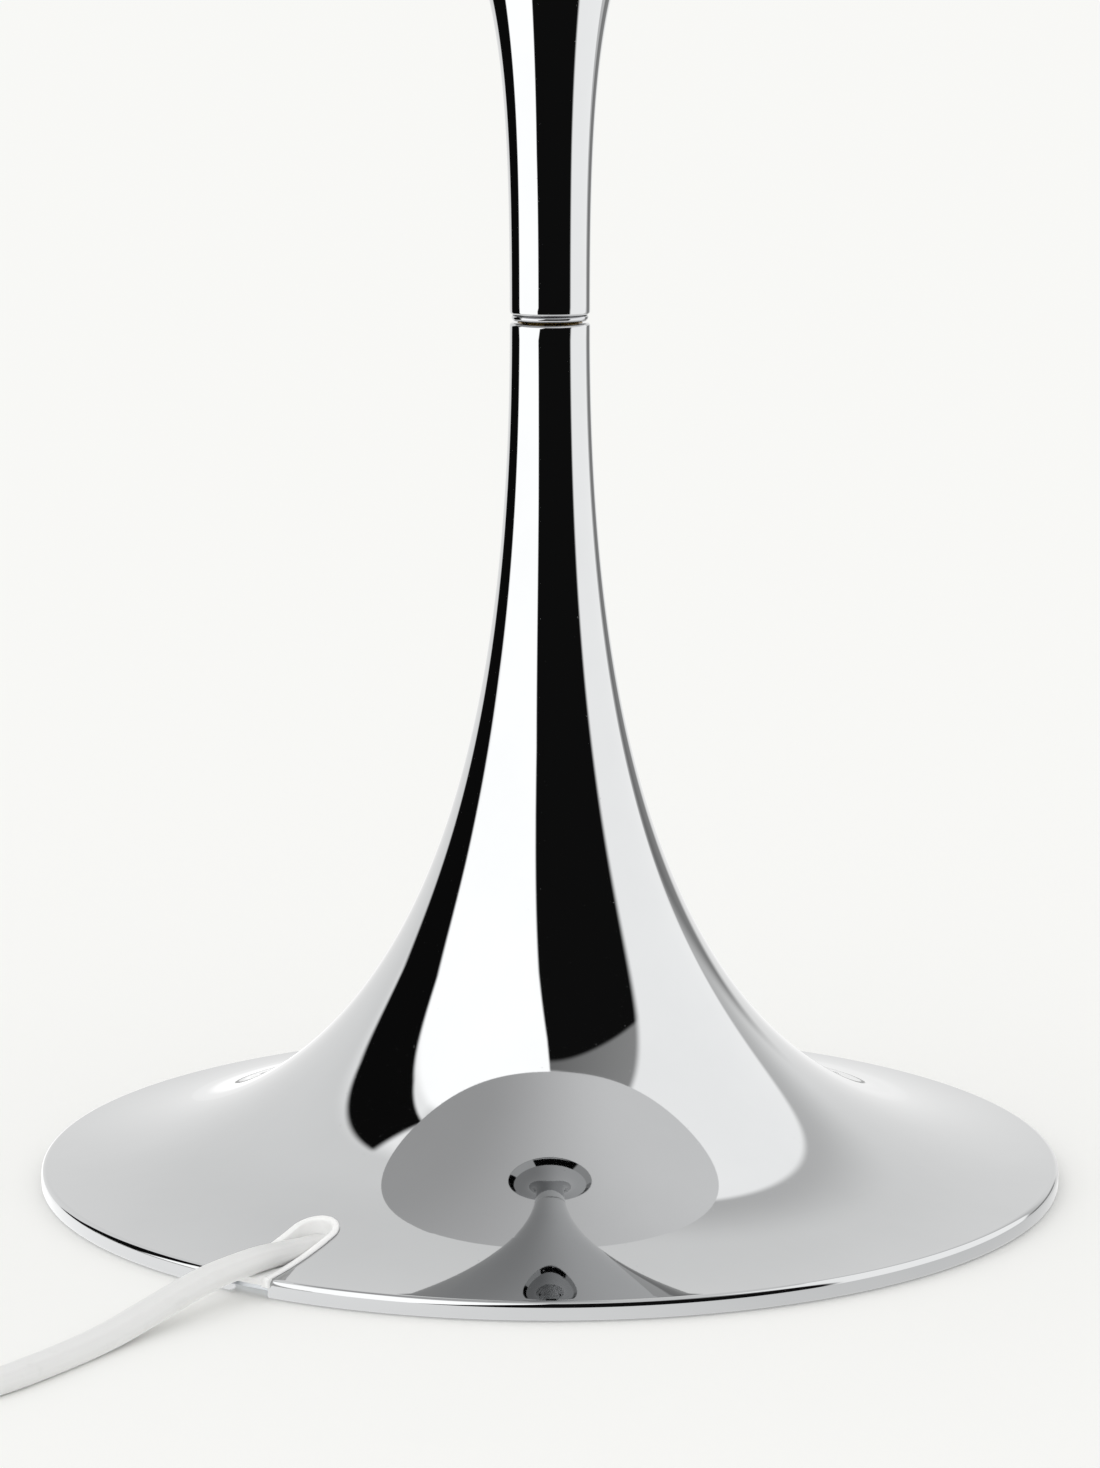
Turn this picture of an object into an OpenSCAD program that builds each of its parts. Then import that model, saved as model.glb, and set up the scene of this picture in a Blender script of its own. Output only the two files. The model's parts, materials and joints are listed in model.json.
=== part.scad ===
// Trumpet-shaped lamp stand: weighted foot, screwed upper stem, flat cord
// with an in-line rocker switch and a two-pin plug. Millimetres, +Z up,
// origin on the axis where the stand meets the table.

/* [Foot] */
// Radius of the foot at its rim
base_r = 100; // [90:1:125]
// Height of the rim's upper edge above the table
rim_top = 3.7; // [3.4:0.1:6]
// Height of the rim's lower edge above the table
rim_bottom = 0.3; // [0.2:0.1:0.6]
// Radial thickness of the turned-down rim
rim_lip = 2; // [1.5:0.1:3]
// Wall of the foot and of the stem
wall = 1.5; // [1.2:0.1:1.6]
// Height of the joint between foot and stem
seam_z = 168; // [140:1:205]
// Radius of the neck on both sides of the joint
neck_r = 7.75; // [7.6:0.05:9.4]
// How far the neck runs down before the flare takes over
neck_reach = 111; // [92:1:120]
// How far the flat foot runs in before it turns up
foot_reach = 61; // [50:1:66]
// Rise of the flat foot over that reach
foot_rise = 4.5; // [4:0.1:6]

/* [Stem] */
// Height of the chromed ring in the joint
ring_h = 1.6; // [1.2:0.1:2.4]
// How far the ring stands back from the neck
ring_inset = 0.75; // [0.4:0.05:1.2]
// Height of the upper stem, from ring to bell
stem_h = 92; // [80:1:112]
// Radius of the bell at the top
bell_r = 34; // [28:1:42]
// Depth of the plate below the bell's edge
plate_depth = 12; // [10:0.5:15]

/* [Tie rod] */
// Radius of the threaded rod
rod_r = 5; // [4.5:0.1:5]
// Radius of the rod's bore
rod_bore_r = 3.9; // [3.4:0.1:4]
// Free end of the rod above its nut
free_end = 15; // [12:0.5:20]
// Radial clearance of pieces that turn on the rod
run_gap = 0.05; // [0.02:0.01:0.1]

/* [Weight and cover] */
// Thickness of the felt under the foot
felt_t = 0.8; // [0.6:0.1:1]
// Thickness of the steel cover
cover_t = 1.2; // [1:0.1:1.4]
// How far the iron weight stands back from the foot's rim
weight_back = 14; // [12:0.5:20]
// Height of the weight's flat top
weight_top = 34; // [30:1:38]
// Gap between the weight and the foot's inside
weight_gap = 0.4; // [0.3:0.1:1]

/* [Cord] */
// Width of the flat cord
cord_w = 6.6; // [5.6:0.1:7]
// Thickness of the flat cord
cord_t = 3.5; // [3:0.1:3.6]
// Wall of the bush that lines the slot
bush_wall = 0.8; // [0.6:0.1:1]
// Height and overhang of the bush's lip
bush_lip = 0.75; // [0.6:0.05:1]
// How far the bush reaches in from the foot's rim
bush_l = 24.5; // [23.5:0.5:26]

/* [Switch] */
// Length of the switch
switch_l = 58; // [56:1:60]
// Width of the switch
switch_w = 24; // [22:1:24]
// Height of the switch without its rocker
switch_h = 15; // [14:0.5:17]
// How far the rocker tips from one side to the other, in degrees
rocker_swing = 16; // [10:1:18]

/* [Hidden] */

smooth = 128;         // sides of the large round pieces
fine = 48;            // sides of the small round pieces
steps = 36;           // steps along a flare
eps = 0.01;           // how far a cut runs past a face
fit_gap = 0.05;       // clearance of pieces that are pushed together
edge_r = 0.6;         // rounding of the turned edges

// Flare of the foot, from the neck down to the rim
rim_round = 0.5;
foot_curve = [[neck_r, seam_z - edge_r], [neck_r, seam_z - neck_reach],
    [base_r - foot_reach, rim_top + foot_rise], [base_r - rim_round, rim_top]];

// Flare of the upper stem, from the neck up to the bell
stem_z = seam_z + ring_h;
bell_z = stem_z + stem_h;
bell_round = wall / 2;
stem_curve = [[neck_r, stem_z + edge_r], [neck_r, stem_z + 0.55 * stem_h],
    [neck_r + 1.85, stem_z + 0.85 * stem_h], [bell_r - bell_round, bell_z - bell_round]];

function bez(p, t) = pow(1 - t, 3) * p[0] + 3 * t * pow(1 - t, 2) * p[1]
    + 3 * t * t * (1 - t) * p[2] + pow(t, 3) * p[3];
function bez_way(p, t) = pow(1 - t, 2) * (p[1] - p[0]) + 2 * t * (1 - t) * (p[2] - p[1])
    + t * t * (p[3] - p[2]);
// A point of the curve, moved by d to the side that side = 1 or -1 names
function beside(p, t, d, side) = let (v = bez_way(p, t)) bez(p, t) + d * side * [v[1], -v[0]] / norm(v);
function line_of(p, d, side) = [for (i = [0:steps]) beside(p, i / steps, d, side)];
function arc(c, r, from, to, n = 6) = [for (i = [0:n])
    let (a = from + (to - from) * i / n) c + r * [cos(a), sin(a)]];
function turned(list) = [for (i = [len(list) - 1:-1:0]) list[i]];
// Inside of the foot, and the curve a set distance above its outside
function foot_inside(d) = [for (q = line_of(foot_curve, d, 1)) if (q[1] > 0) q];
function foot_outside(d) = line_of(foot_curve, d, -1);
function height_at(list, r) = lookup(r, [for (q = list) [q[0], q[1]]]);
function radius_at(list, z) = lookup(z, [for (q = list) [q[1], q[0]]]);

// Stack under and inside the foot
weight_r = base_r - weight_back;
bush_in = base_r - bush_l;
cover_top = felt_t + cover_t;
land_r = base_r - rim_lip - 3;
cover_r = base_r - rim_lip - 0.5;
felt_r = cover_r - 3.4;
bore_r = rod_r + run_gap;
bush_r = neck_r - wall - fit_gap;

// Nut stack in the weight
nut_room_r = 12;
nut_room_top = 16;
washer_r = 10.5;
washer_t = 1.5;
lock_t = 0.8;
nut_h = 4.5;
nut_af = 17;
rod_bottom = nut_room_top - washer_t - lock_t - nut_h - 0.7;

// Plate, washer and nut in the bell
plate_t = 2;
plate_z = bell_z - plate_depth - plate_t;
stem_inside = line_of(stem_curve, wall, -1);
ledge_r = radius_at(stem_inside, plate_z) - 1.5;
plate_r = radius_at(stem_inside, plate_z) - 0.15;
bell_washer_t = 1.2;
bell_nut_af = 14;
nut_top = plate_z + plate_t + bell_washer_t + nut_h;
relief_h = 1;
rod_top = nut_top + relief_h + free_end;
bush_h = 13;

// Screws of the cover and of the cord clamp
screw_r = 1.5;
cover_screw_at = 50;
cover_screw_head = 2.8;
cover_screw_end = 12;
clamp_at = 45;
clamp_z = 4;
clamp_t = 2;
clamp_l = 26;
clamp_w = 8;
clamp_screw_at = 9.5;
channel_w = 10;
channel_top = clamp_z + clamp_t + cord_t + 0.1;
inner_z = clamp_z + clamp_t + cord_t / 2 + 0.05;

// Direction in which the cord leaves the foot, and the slot with its bush
cord_az = 237;
cord_gap = 0.2;
mouth_w = cord_w + 2 * cord_gap;
slot_w = mouth_w + 2 * bush_wall + 2 * fit_gap;
lip_w = slot_w + 2 * bush_lip;
slot_in = bush_in - fit_gap;
sill_top = 4.2;
sill_bottom = 2.6;
face_t = 0.7;

// Switch, plug and coil lie on the table, and stay as far from the rim as in
// the drawing, which is for a foot of this radius
drawn_r = 100;
grown = base_r - drawn_r;
away = grown * [cos(cord_az), sin(cord_az), 0];
switch_at = [-160 + away[0], -151.7 + away[1]];
cord_axis_z = 5;
pivot_z = 10.5;
pivot_r = 1;
rocker_l = 17.2;
rocker_w = 9.4;
rocker_gap = 0.3;
coil_at = [-182 + away[0], -88 + away[1]];
coil_out = 41.5 + 3.8;
coil_in = 34.5 - 3.8;
coil_z = 0.8;
coil_h = 10.8;
tie_t = 0.7;
tie_az = 305;
plug_at = [-223.5 + away[0], -22 + away[1]];
plug_t = 13.6;
plug_l = 35;
plug_w = 26;
relief_l = 24;
pin_gap = 18.6;
pin_l = 19;
sleeve_l = 10;

// Route of the cord: inside the foot as [distance from the axis, height],
// then over the table as [x, y, z]
inner_route = concat([[30, inner_z], [40, inner_z], [50, inner_z]],
    [for (q = [[56, 7.1], [62, 5.8], [68, 4.6], [74, 3.9]]) [q[0] + grown, q[1]]]);
core_route = [[29.9, 7.8], [24, 7.2], [18, 6.4], [12, 5.5], [7.5, 5.2], [4, 6.2], [1.6, 8.6], [0.4, 12],
    [0, 18], [0, 60], [0, 120], [0, 180], [0, 240], [0, rod_top - 4]];
run_route = [for (q = [[-40.5, -62.4, 3.9], [-43.6, -67.1, 4.2], [-47.9, -73.8, 5.2], [-51.2, -78.8, 5.9],
    [-54.5, -83.9, 6.2], [-60, -90.2, 5.7], [-65.5, -97.5, 4.6], [-71, -105.3, 3.2],
    [-76.5, -113.7, 2.1], [-82, -122.4, 1.75], [-87.5, -130.9, 1.75], [-93, -138.5, 1.75],
    [-100.1, -145.6, 1.75], [-108.5, -149.9, 1.8],
    [-116, -151.5, 2.8], [-122.5, -151.7, 4.2], [-129, -151.7, 5], [-134, -151.7, 5]]) q + away];
link_route = [for (q = [[-186, -151.7, 5], [-191, -151.7, 5], [-198, -151.6, 4.1], [-205.5, -150.4, 2.8], [-212.5, -146.5, 2],
    [-219, -140, 1.75], [-222.6, -131, 1.75], [-223.5, -121, 2], [-223.5, -110, 2.5]]) q + away];
tail_route = [for (q = [[-223.5, -72, 5], [-223.5, -65, 4.7], [-223.5, -57, 5.4],
    [-223.5, -46, 6.8], [-223.5, -22.2, 6.8]]) q + away];

// Flat section with round edges, swept along a route with its flat side up
sides = 10;
function flat_ring(w, t) = [for (i = [0:sides - 1])
    let (a = 360 * (i + 0.5) / sides) [((w - t) / 2) * sign(cos(a)) + t / 2 * cos(a), t / 2 * sin(a)]];
function unit(v) = v / norm(v);
function way(list, i) = unit(list[min(i + 1, len(list) - 1)] - list[max(i - 1, 0)]);
function ring_at(list, i, ring, across) = let (f = way(list, i),
    s = is_undef(across) ? unit([f[1], -f[0], 0]) : across, u = cross(s, f))
    [for (q = ring) list[i] + q[0] * s + q[1] * u];

// Rings lie level across the route, or along the direction that across gives
module sweep(list, ring, across) {
    n = len(ring);
    last = len(list) - 1;
    points = [for (i = [0:last]) each ring_at(list, i, ring, across)];
    walls = [for (i = [0:last - 1], j = [0:n - 1])
        [i * n + j, i * n + (j + 1) % n, (i + 1) * n + (j + 1) % n, (i + 1) * n + j]];
    ends = [[for (j = [n - 1:-1:0]) j], [for (j = [0:n - 1]) last * n + j]];
    polyhedron(points, concat(walls, ends), convexity = 6);
}

module hex(af, h, bore) {
    difference() {
        cylinder(h = h, r = af / 2 / cos(30), $fn = 6);
        translate([0, 0, -eps]) cylinder(h = h + 2 * eps, r = bore, $fn = fine);
    }
}

module ring_piece(r, bore, z, h) {
    translate([0, 0, z]) difference() {
        cylinder(h = h, r = r, $fn = smooth);
        translate([0, 0, -eps]) cylinder(h = h + 2 * eps, r = bore, $fn = fine);
    }
}

// A rounded plate: length along x, width along y
module slab(l, w, r, z, h) {
    translate([0, 0, z]) linear_extrude(h) {
        square([l - 2 * r, w], center = true);
        square([l, w - 2 * r], center = true);
        for (x = [-1, 1], y = [-1, 1]) translate([x * (l / 2 - r), y * (w / 2 - r)]) circle(r, $fn = fine);
    }
}

// The slot seen from above, its round end towards the axis
module slot_plan(w, from) {
    translate([from + w / 2, 0]) circle(d = w, $fn = fine);
    translate([from + w / 2, -w / 2]) square([base_r + 10 - from - w / 2, w]);
}

module slot_body(w, from, low, high) {
    translate([0, 0, low]) linear_extrude(high - low) slot_plan(w, from);
}

// Everything in the slot's neighbourhood below a curve d above the foot
module under_skin(d, low) {
    top = [for (q = foot_outside(d)) if (q[0] > bush_in - 12) q];
    last = top[len(top) - 1];
    rotate_extrude($fn = smooth) polygon(concat([[top[0][0], low]], top, [[base_r + d, last[1]], [base_r + d, low]]));
}

module felt_pad() {
    color("#2b2b2d") cylinder(h = felt_t, r = felt_r, $fn = smooth);
}

module cover_plate() {
    color("#a9abad") difference() {
        translate([0, 0, felt_t]) cylinder(h = cover_t, r = cover_r, $fn = smooth);
        for (i = [0:2]) at_cover_screw(i) translate([0, 0, felt_t - eps])
            cylinder(h = cover_t + 2 * eps, r1 = cover_screw_head + fit_gap, r2 = screw_r + 0.1, $fn = fine);
    }
}

module at_cover_screw(i) {
    rotate([0, 0, cord_az + 60 + 120 * i]) translate([cover_screw_at, 0, 0]) children();
}

module cover_screw(i) {
    color("#8f9194") at_cover_screw(i) difference() {
        union() {
            translate([0, 0, felt_t]) cylinder(h = cover_t, r1 = cover_screw_head, r2 = screw_r, $fn = fine);
            translate([0, 0, cover_top - eps]) cylinder(h = cover_screw_end - cover_top, r = screw_r, $fn = fine);
        }
        translate([0, 0, felt_t + 0.3]) cube([3.4, 0.7, 0.7], center = true);
        translate([0, 0, felt_t + 0.3]) cube([0.7, 3.4, 0.7], center = true);
    }
}

module foot_weight() {
    under = foot_inside(wall + weight_gap);
    skin = [for (q = under) if (q[1] < weight_top && q[0] < weight_r) q];
    edge = [weight_r, height_at(under, weight_r)];
    color("#3a3b3d") difference() {
        rotate_extrude($fn = smooth) polygon(concat(
            [[bore_r + 0.2, weight_top], [radius_at(under, weight_top), weight_top]], skin,
            [edge, [weight_r, cover_top], [bore_r + 0.2, cover_top]]));
        translate([0, 0, cover_top - eps]) cylinder(h = nut_room_top - cover_top + eps, r = nut_room_r, $fn = fine);
        rotate([0, 0, cord_az]) {
            translate([0, -channel_w / 2, cover_top - eps])
                cube([weight_r + 5, channel_w, channel_top - cover_top + eps]);
            translate([clamp_at - clamp_w / 2 - 0.5, -clamp_l / 2 - 0.5, cover_top - eps])
                cube([clamp_w + 1, clamp_l + 1, clamp_z + clamp_t - cover_top + eps]);
        }
        for (s = [-1, 1]) at_clamp_screw(s) cylinder(h = 16, r = screw_r + fit_gap, $fn = fine);
        for (i = [0:2]) at_cover_screw(i) cylinder(h = cover_screw_end + 1, r = screw_r + fit_gap, $fn = fine);
    }
}

module at_clamp_screw(s) {
    rotate([0, 0, cord_az]) translate([clamp_at, s * clamp_screw_at, 0]) children();
}

module cord_clamp() {
    color("#e9e9e4") difference() {
        rotate([0, 0, cord_az]) translate([clamp_at, 0, 0]) slab(clamp_w, clamp_l, 2, clamp_z, clamp_t);
        for (s = [-1, 1]) at_clamp_screw(s) cylinder(h = 16, r = screw_r + 0.1, $fn = fine);
    }
}

module clamp_screw(s) {
    head = 1.6;
    color("#8f9194") at_clamp_screw(s) difference() {
        union() {
            translate([0, 0, clamp_z - head]) cylinder(h = head, r = 2.8, $fn = fine);
            translate([0, 0, clamp_z - eps]) cylinder(h = 11, r = screw_r, $fn = fine);
        }
        translate([0, 0, clamp_z - head]) cube([3.8, 0.7, 1.2], center = true);
    }
}

module foot_shell() {
    inside = [for (q = foot_inside(wall)) if (q[0] < land_r - 0.5) q];
    color("#d7d9da") difference() {
        rotate_extrude($fn = smooth) polygon(concat(
            arc([neck_r - edge_r, seam_z - edge_r], edge_r, 90, 0),
            [for (i = [1:steps]) bez(foot_curve, i / steps)],
            arc([base_r - rim_round, rim_top - rim_round], rim_round, 75, 0, 5),
            arc([base_r - rim_round, rim_bottom + rim_round], rim_round, 0, -90),
            [[base_r - rim_lip, rim_bottom], [base_r - rim_lip, cover_top], [land_r, cover_top]],
            turned(inside), [[neck_r - wall, seam_z]]));
        rotate([0, 0, cord_az]) slot_body(slot_w, slot_in, 0, 30);
    }
}

module cord_bush() {
    color("#f4f4f0") rotate([0, 0, cord_az]) difference() {
        union() {
            intersection() {
                slot_body(slot_w - 2 * fit_gap, bush_in, 0, 30);
                under_skin(bush_lip / 2, cover_top + 0.1);
            }
            intersection() {
                slot_body(lip_w, bush_in - bush_lip, 0, 30);
                difference() {
                    under_skin(bush_lip, cover_top + 0.2);
                    under_skin(fit_gap, cover_top - 1);
                }
            }
            translate([base_r + fit_gap, -lip_w / 2, 0.9]) cube([face_t, lip_w, rim_top - 0.9 + bush_lip]);
        }
        slot_body(mouth_w, bush_in + bush_wall, sill_top, 30);
        translate([bush_in - 2, -mouth_w / 2, 0]) cube([base_r - bush_in - 1, mouth_w, sill_top + 1.9]);
        translate([base_r - 4, -mouth_w / 2, 0]) cube([10, mouth_w, sill_bottom]);
    }
}

module tie_rod() {
    color("#c9b26a") difference() {
        translate([0, 0, rod_bottom]) cylinder(h = rod_top - rod_bottom, r = rod_r, $fn = fine);
        cylinder(h = rod_top + 1, r = rod_bore_r, $fn = fine);
        translate([0, 0, nut_top]) difference() {
            cylinder(h = relief_h, r = rod_r + 1, $fn = fine);
            translate([0, 0, -eps]) cylinder(h = relief_h + 2 * eps, r = rod_r - 0.4, $fn = fine);
        }
    }
}

module weight_washer() {
    color("#b4b6b8") ring_piece(washer_r, bore_r, nut_room_top - washer_t, washer_t);
}

module lock_washer() {
    teeth = 12;
    z = nut_room_top - washer_t - lock_t;
    color("#9a9c9f") difference() {
        ring_piece(9, bore_r, z, lock_t);
        for (i = [0:teeth - 1]) rotate([0, 0, i * 360 / teeth]) translate([7.6, -0.6, z - 1]) cube([3, 1.2, 3]);
    }
}

module bottom_nut() {
    color("#c9b26a") translate([0, 0, nut_room_top - washer_t - lock_t - nut_h]) hex(nut_af, nut_h, bore_r);
}

module neck_bush() {
    color("#c9b26a") ring_piece(bush_r, bore_r, seam_z - bush_h, bush_h);
}

module seam_ring() {
    r = neck_r - ring_inset;
    round_r = 0.25;
    color("#dfe0e1") rotate_extrude($fn = smooth) polygon(concat(
        [[bore_r, seam_z]], arc([r - round_r, seam_z + round_r], round_r, -90, 0, 4),
        arc([r - round_r, seam_z + ring_h - round_r], round_r, 0, 90, 4), [[bore_r, seam_z + ring_h]]));
}

module stem_bush() {
    color("#c9b26a") ring_piece(bush_r, bore_r, stem_z, bush_h);
}

module upper_stem() {
    inside = [for (q = stem_inside) if (q[1] > stem_z + 1) q];
    end = bell_round;
    way_out = atan2(stem_curve[3][1] - stem_curve[2][1], stem_curve[3][0] - stem_curve[2][0]);
    color("#d7d9da") rotate_extrude($fn = smooth) polygon(concat(
        [[neck_r - wall, stem_z]], arc([neck_r - edge_r, stem_z + edge_r], edge_r, -90, 0),
        [for (i = [1:steps - 1]) bez(stem_curve, i / steps)],
        arc(beside(stem_curve, 1, end, -1), end, way_out - 90, way_out + 90),
        [for (q = turned(inside)) if (q[1] > plate_z && q[1] < bell_z - bell_round - 1.5) q],
        [[radius_at(stem_inside, plate_z), plate_z], [ledge_r, plate_z], [ledge_r, plate_z - 1.5],
        [radius_at(stem_inside, plate_z - 3), plate_z - 3]],
        [for (q = turned(inside)) if (q[1] < plate_z - 3) q]));
}

module bell_plate() {
    color("#cfd1d2") ring_piece(plate_r, bore_r, plate_z, plate_t);
}

module bell_washer() {
    color("#b4b6b8") ring_piece(9, bore_r, plate_z + plate_t, bell_washer_t);
}

module bell_nut() {
    color("#c9b26a") translate([0, 0, nut_top - nut_h]) hex(bell_nut_af, nut_h, bore_r);
}

module core(side) {
    r = 1.2;
    wire = [for (i = [0:7]) r * [cos(45 * i + 22.5), sin(45 * i + 22.5)]];
    rotate([0, 0, cord_az])
        sweep([for (q = core_route) [q[0], side * 1.55, q[1]]], wire, [0, 1, 0]);
}

module live_core() {
    color("#7a4a2a") core(1);
}

module neutral_core() {
    color("#2f62a8") core(-1);
}

module cord_inner() {
    color("#efefeb") rotate([0, 0, cord_az])
        sweep([for (q = inner_route) [q[0], 0, q[1]]], flat_ring(cord_w, cord_t));
}

module cord_run() {
    color("#efefeb") sweep(run_route, flat_ring(cord_w, cord_t));
}

module cord_link() {
    color("#efefeb") sweep(link_route, flat_ring(cord_w, cord_t));
}

module cord_tail() {
    color("#efefeb") sweep(tail_route, flat_ring(cord_w, cord_t));
}

module cord_coil() {
    color("#efefeb") translate([coil_at[0], coil_at[1], coil_z]) rotate_extrude($fn = smooth)
        translate([coil_in, 0]) square([coil_out - coil_in, coil_h]);
}

module coil_tie() {
    w = coil_out - coil_in + 0.4;
    h = coil_h + 0.2;
    color("#f7f7f5") translate([coil_at[0], coil_at[1], 0]) rotate([0, 0, tie_az])
        translate([(coil_in + coil_out) / 2, 0, tie_t + h / 2]) difference() {
            cube([w + 2 * tie_t, 6, h + 2 * tie_t], center = true);
            cube([w, 7, h], center = true);
        }
}

module at_switch() {
    translate([switch_at[0], switch_at[1], 0]) children();
}

module cord_notch() {
    translate([0, 0, cord_axis_z]) cube([switch_l + 2, cord_w + 0.3, cord_t + 0.2], center = true);
}

module switch_base() {
    skin = 1.8;
    floor_t = 1.6;
    color("#f2f2ee") at_switch() difference() {
        slab(switch_l, switch_w, 8, 0, cord_axis_z);
        difference() {
            slab(switch_l - 2 * skin, switch_w - 2 * skin, 6.2, floor_t, 10);
            for (s = [-1, 1]) translate([s * 17, s * 6.5, 0]) cylinder(h = 10, r = 3.2, $fn = fine);
        }
        cord_notch();
        for (s = [-1, 1]) translate([s * 17, s * 6.5, -eps]) {
            cylinder(h = 20, r = screw_r + 0.1, $fn = fine);
            cylinder(h = 2.2 + eps, r = 3, $fn = fine);
        }
    }
}

module switch_cover() {
    skin = 1.8;
    top = 1.8;
    frame_t = 1.8;
    color("#f2f2ee") at_switch() difference() {
        union() {
            difference() {
                union() {
                    slab(switch_l, switch_w, 8, cord_axis_z, switch_h - cord_axis_z - 1.2);
                    slab(switch_l - 2.4, switch_w - 2.4, 6.8, switch_h - 1.2, 1.2);
                }
                slab(switch_l - 2 * skin, switch_w - 2 * skin, 6.2, 0, switch_h - top);
            }
            translate([0, 0, (pivot_z - 3 + switch_h - eps) / 2]) cube([rocker_l + 2 * rocker_gap + 2 * frame_t,
                rocker_w + 2 * rocker_gap + 2 * frame_t, switch_h - pivot_z + 3 - eps], center = true);
            for (s = [-1, 1]) translate([s * 17, s * 6.5, cord_axis_z + 0.02])
                cylinder(h = switch_h - cord_axis_z - 1.5, r = 3.2, $fn = fine);
        }
        translate([0, 0, switch_h]) cube([rocker_l + 2 * rocker_gap, rocker_w + 2 * rocker_gap, 30], center = true);
        cord_notch();
        for (s = [-1, 1]) translate([s * 17, s * 6.5, 0]) cylinder(h = 12, r = screw_r + fit_gap, $fn = fine);
        translate([0, 0, pivot_z]) rotate([90, 0, 0])
            cylinder(h = rocker_w + 2 * rocker_gap + 2 * frame_t - 0.8, r = pivot_r, center = true, $fn = fine);
    }
}

module switch_pivot() {
    color("#c4c6c8") at_switch() translate([0, 0, pivot_z]) rotate([90, 0, 0])
        cylinder(h = rocker_w + 2 * rocker_gap + 2.6, r = pivot_r, center = true, $fn = fine);
}

// Two flat faces that meet over the pivot, tipped to its rest side
module switch_rocker() {
    lean = rocker_swing / 2;
    dip = switch_h - 0.5 - pivot_z;
    foot = 2.6;
    end = arc([0, 0], rocker_l / 2, -6, 38, 8);
    color("#ecece8") at_switch() translate([0, 0, pivot_z]) rotate([0, lean, 0]) difference() {
        rotate([90, 0, 0]) linear_extrude(rocker_w, center = true)
            polygon(concat([[3.5, -foot]], end, [[0, dip]], [for (q = turned(end)) [-q[0], q[1]]], [[-3.5, -foot]]));
        rotate([90, 0, 0]) cylinder(h = rocker_w + 1, r = pivot_r + 0.06, center = true, $fn = fine);
    }
}

module switch_screw(s) {
    head_z = 0.6;
    color("#8f9194") at_switch() translate([s * 17, s * 6.5, 0]) difference() {
        union() {
            translate([0, 0, head_z]) cylinder(h = 1.6, r = 2.7, $fn = fine);
            translate([0, 0, head_z + 1]) cylinder(h = 9.4, r = screw_r, $fn = fine);
        }
        translate([0, 0, head_z]) cube([3.6, 0.7, 1.2], center = true);
    }
}

module at_plug() {
    translate([plug_at[0], plug_at[1], 0]) children();
}

module plug_relief() {
    color("#f2f2ee") at_plug() translate([0, 0, plug_t / 2]) rotate([90, 0, 0]) difference() {
        cylinder(h = relief_l, r1 = 5.6, r2 = 4.3, $fn = fine);
        cube([cord_w + 0.3, cord_t + 0.2, 3 * relief_l], center = true);
    }
}

module plug_body() {
    grip = 14;
    color("#f2f2ee") at_plug() difference() {
        linear_extrude(plug_t) offset(r = 2, $fn = 32) offset(delta = -2)
            polygon([[-8, 0], [8, 0], [10, 10], [plug_w / 2, 20], [plug_w / 2, plug_l],
                [-plug_w / 2, plug_l], [-plug_w / 2, 20], [-10, 10]]);
        for (s = [-1, 1], i = [0:3]) translate([s * (grip - 2.6), 6 + 3 * i, plug_t / 2])
            cube([4, 1, plug_t + 1], center = true);
        for (s = [-1, 1]) translate([s * pin_gap / 2, plug_l - 8, plug_t / 2]) rotate([-90, 0, 0])
            cylinder(h = 10, r = 2 + fit_gap, $fn = fine);
    }
}

module plug_pin(s) {
    root_l = 8;
    tip_l = pin_l - sleeve_l;
    color("#d2c48a") at_plug() translate([s * pin_gap / 2, plug_l - root_l, plug_t / 2]) rotate([-90, 0, 0]) {
        cylinder(h = root_l, r = 2, $fn = fine);
        translate([0, 0, root_l - eps]) cylinder(h = sleeve_l + 2 * eps, r = 1.5, $fn = fine);
        translate([0, 0, root_l + sleeve_l]) rotate_extrude($fn = fine)
            polygon(concat([[0, 0], [2, 0]], arc([1, tip_l - 1], 1, 0, 90), [[0, tip_l]]));
    }
}

module pin_sleeve(s) {
    color("#f2f2ee") at_plug() translate([s * pin_gap / 2, plug_l, plug_t / 2]) rotate([-90, 0, 0]) difference() {
        cylinder(h = sleeve_l, r = 2, $fn = fine);
        translate([0, 0, -1]) cylinder(h = sleeve_l + 2, r = 1.5 + 0.03, $fn = fine);
    }
}

felt_pad();
cover_plate();
foot_weight();
foot_shell();
cord_bush();
cover_screw(0);  // cover_screw_1
cover_screw(1);  // cover_screw_2
cover_screw(2);  // cover_screw_3
cord_clamp();
clamp_screw(-1);  // clamp_screw_1
clamp_screw(1);  // clamp_screw_2
tie_rod();
bottom_nut();
lock_washer();
weight_washer();
neck_bush();
seam_ring();
stem_bush();
upper_stem();
bell_plate();
bell_washer();
bell_nut();
live_core();
neutral_core();
cord_inner();
cord_run();
switch_base();
switch_cover();
switch_pivot();
switch_rocker();
switch_screw(-1);  // switch_screw_1
switch_screw(1);  // switch_screw_2
cord_link();
cord_coil();
coil_tie();
cord_tail();
plug_relief();
plug_body();
plug_pin(-1);  // plug_pin_1
plug_pin(1);  // plug_pin_2
pin_sleeve(-1);  // pin_sleeve_1
pin_sleeve(1);  // pin_sleeve_2
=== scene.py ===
import bisect
import json
import math

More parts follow.
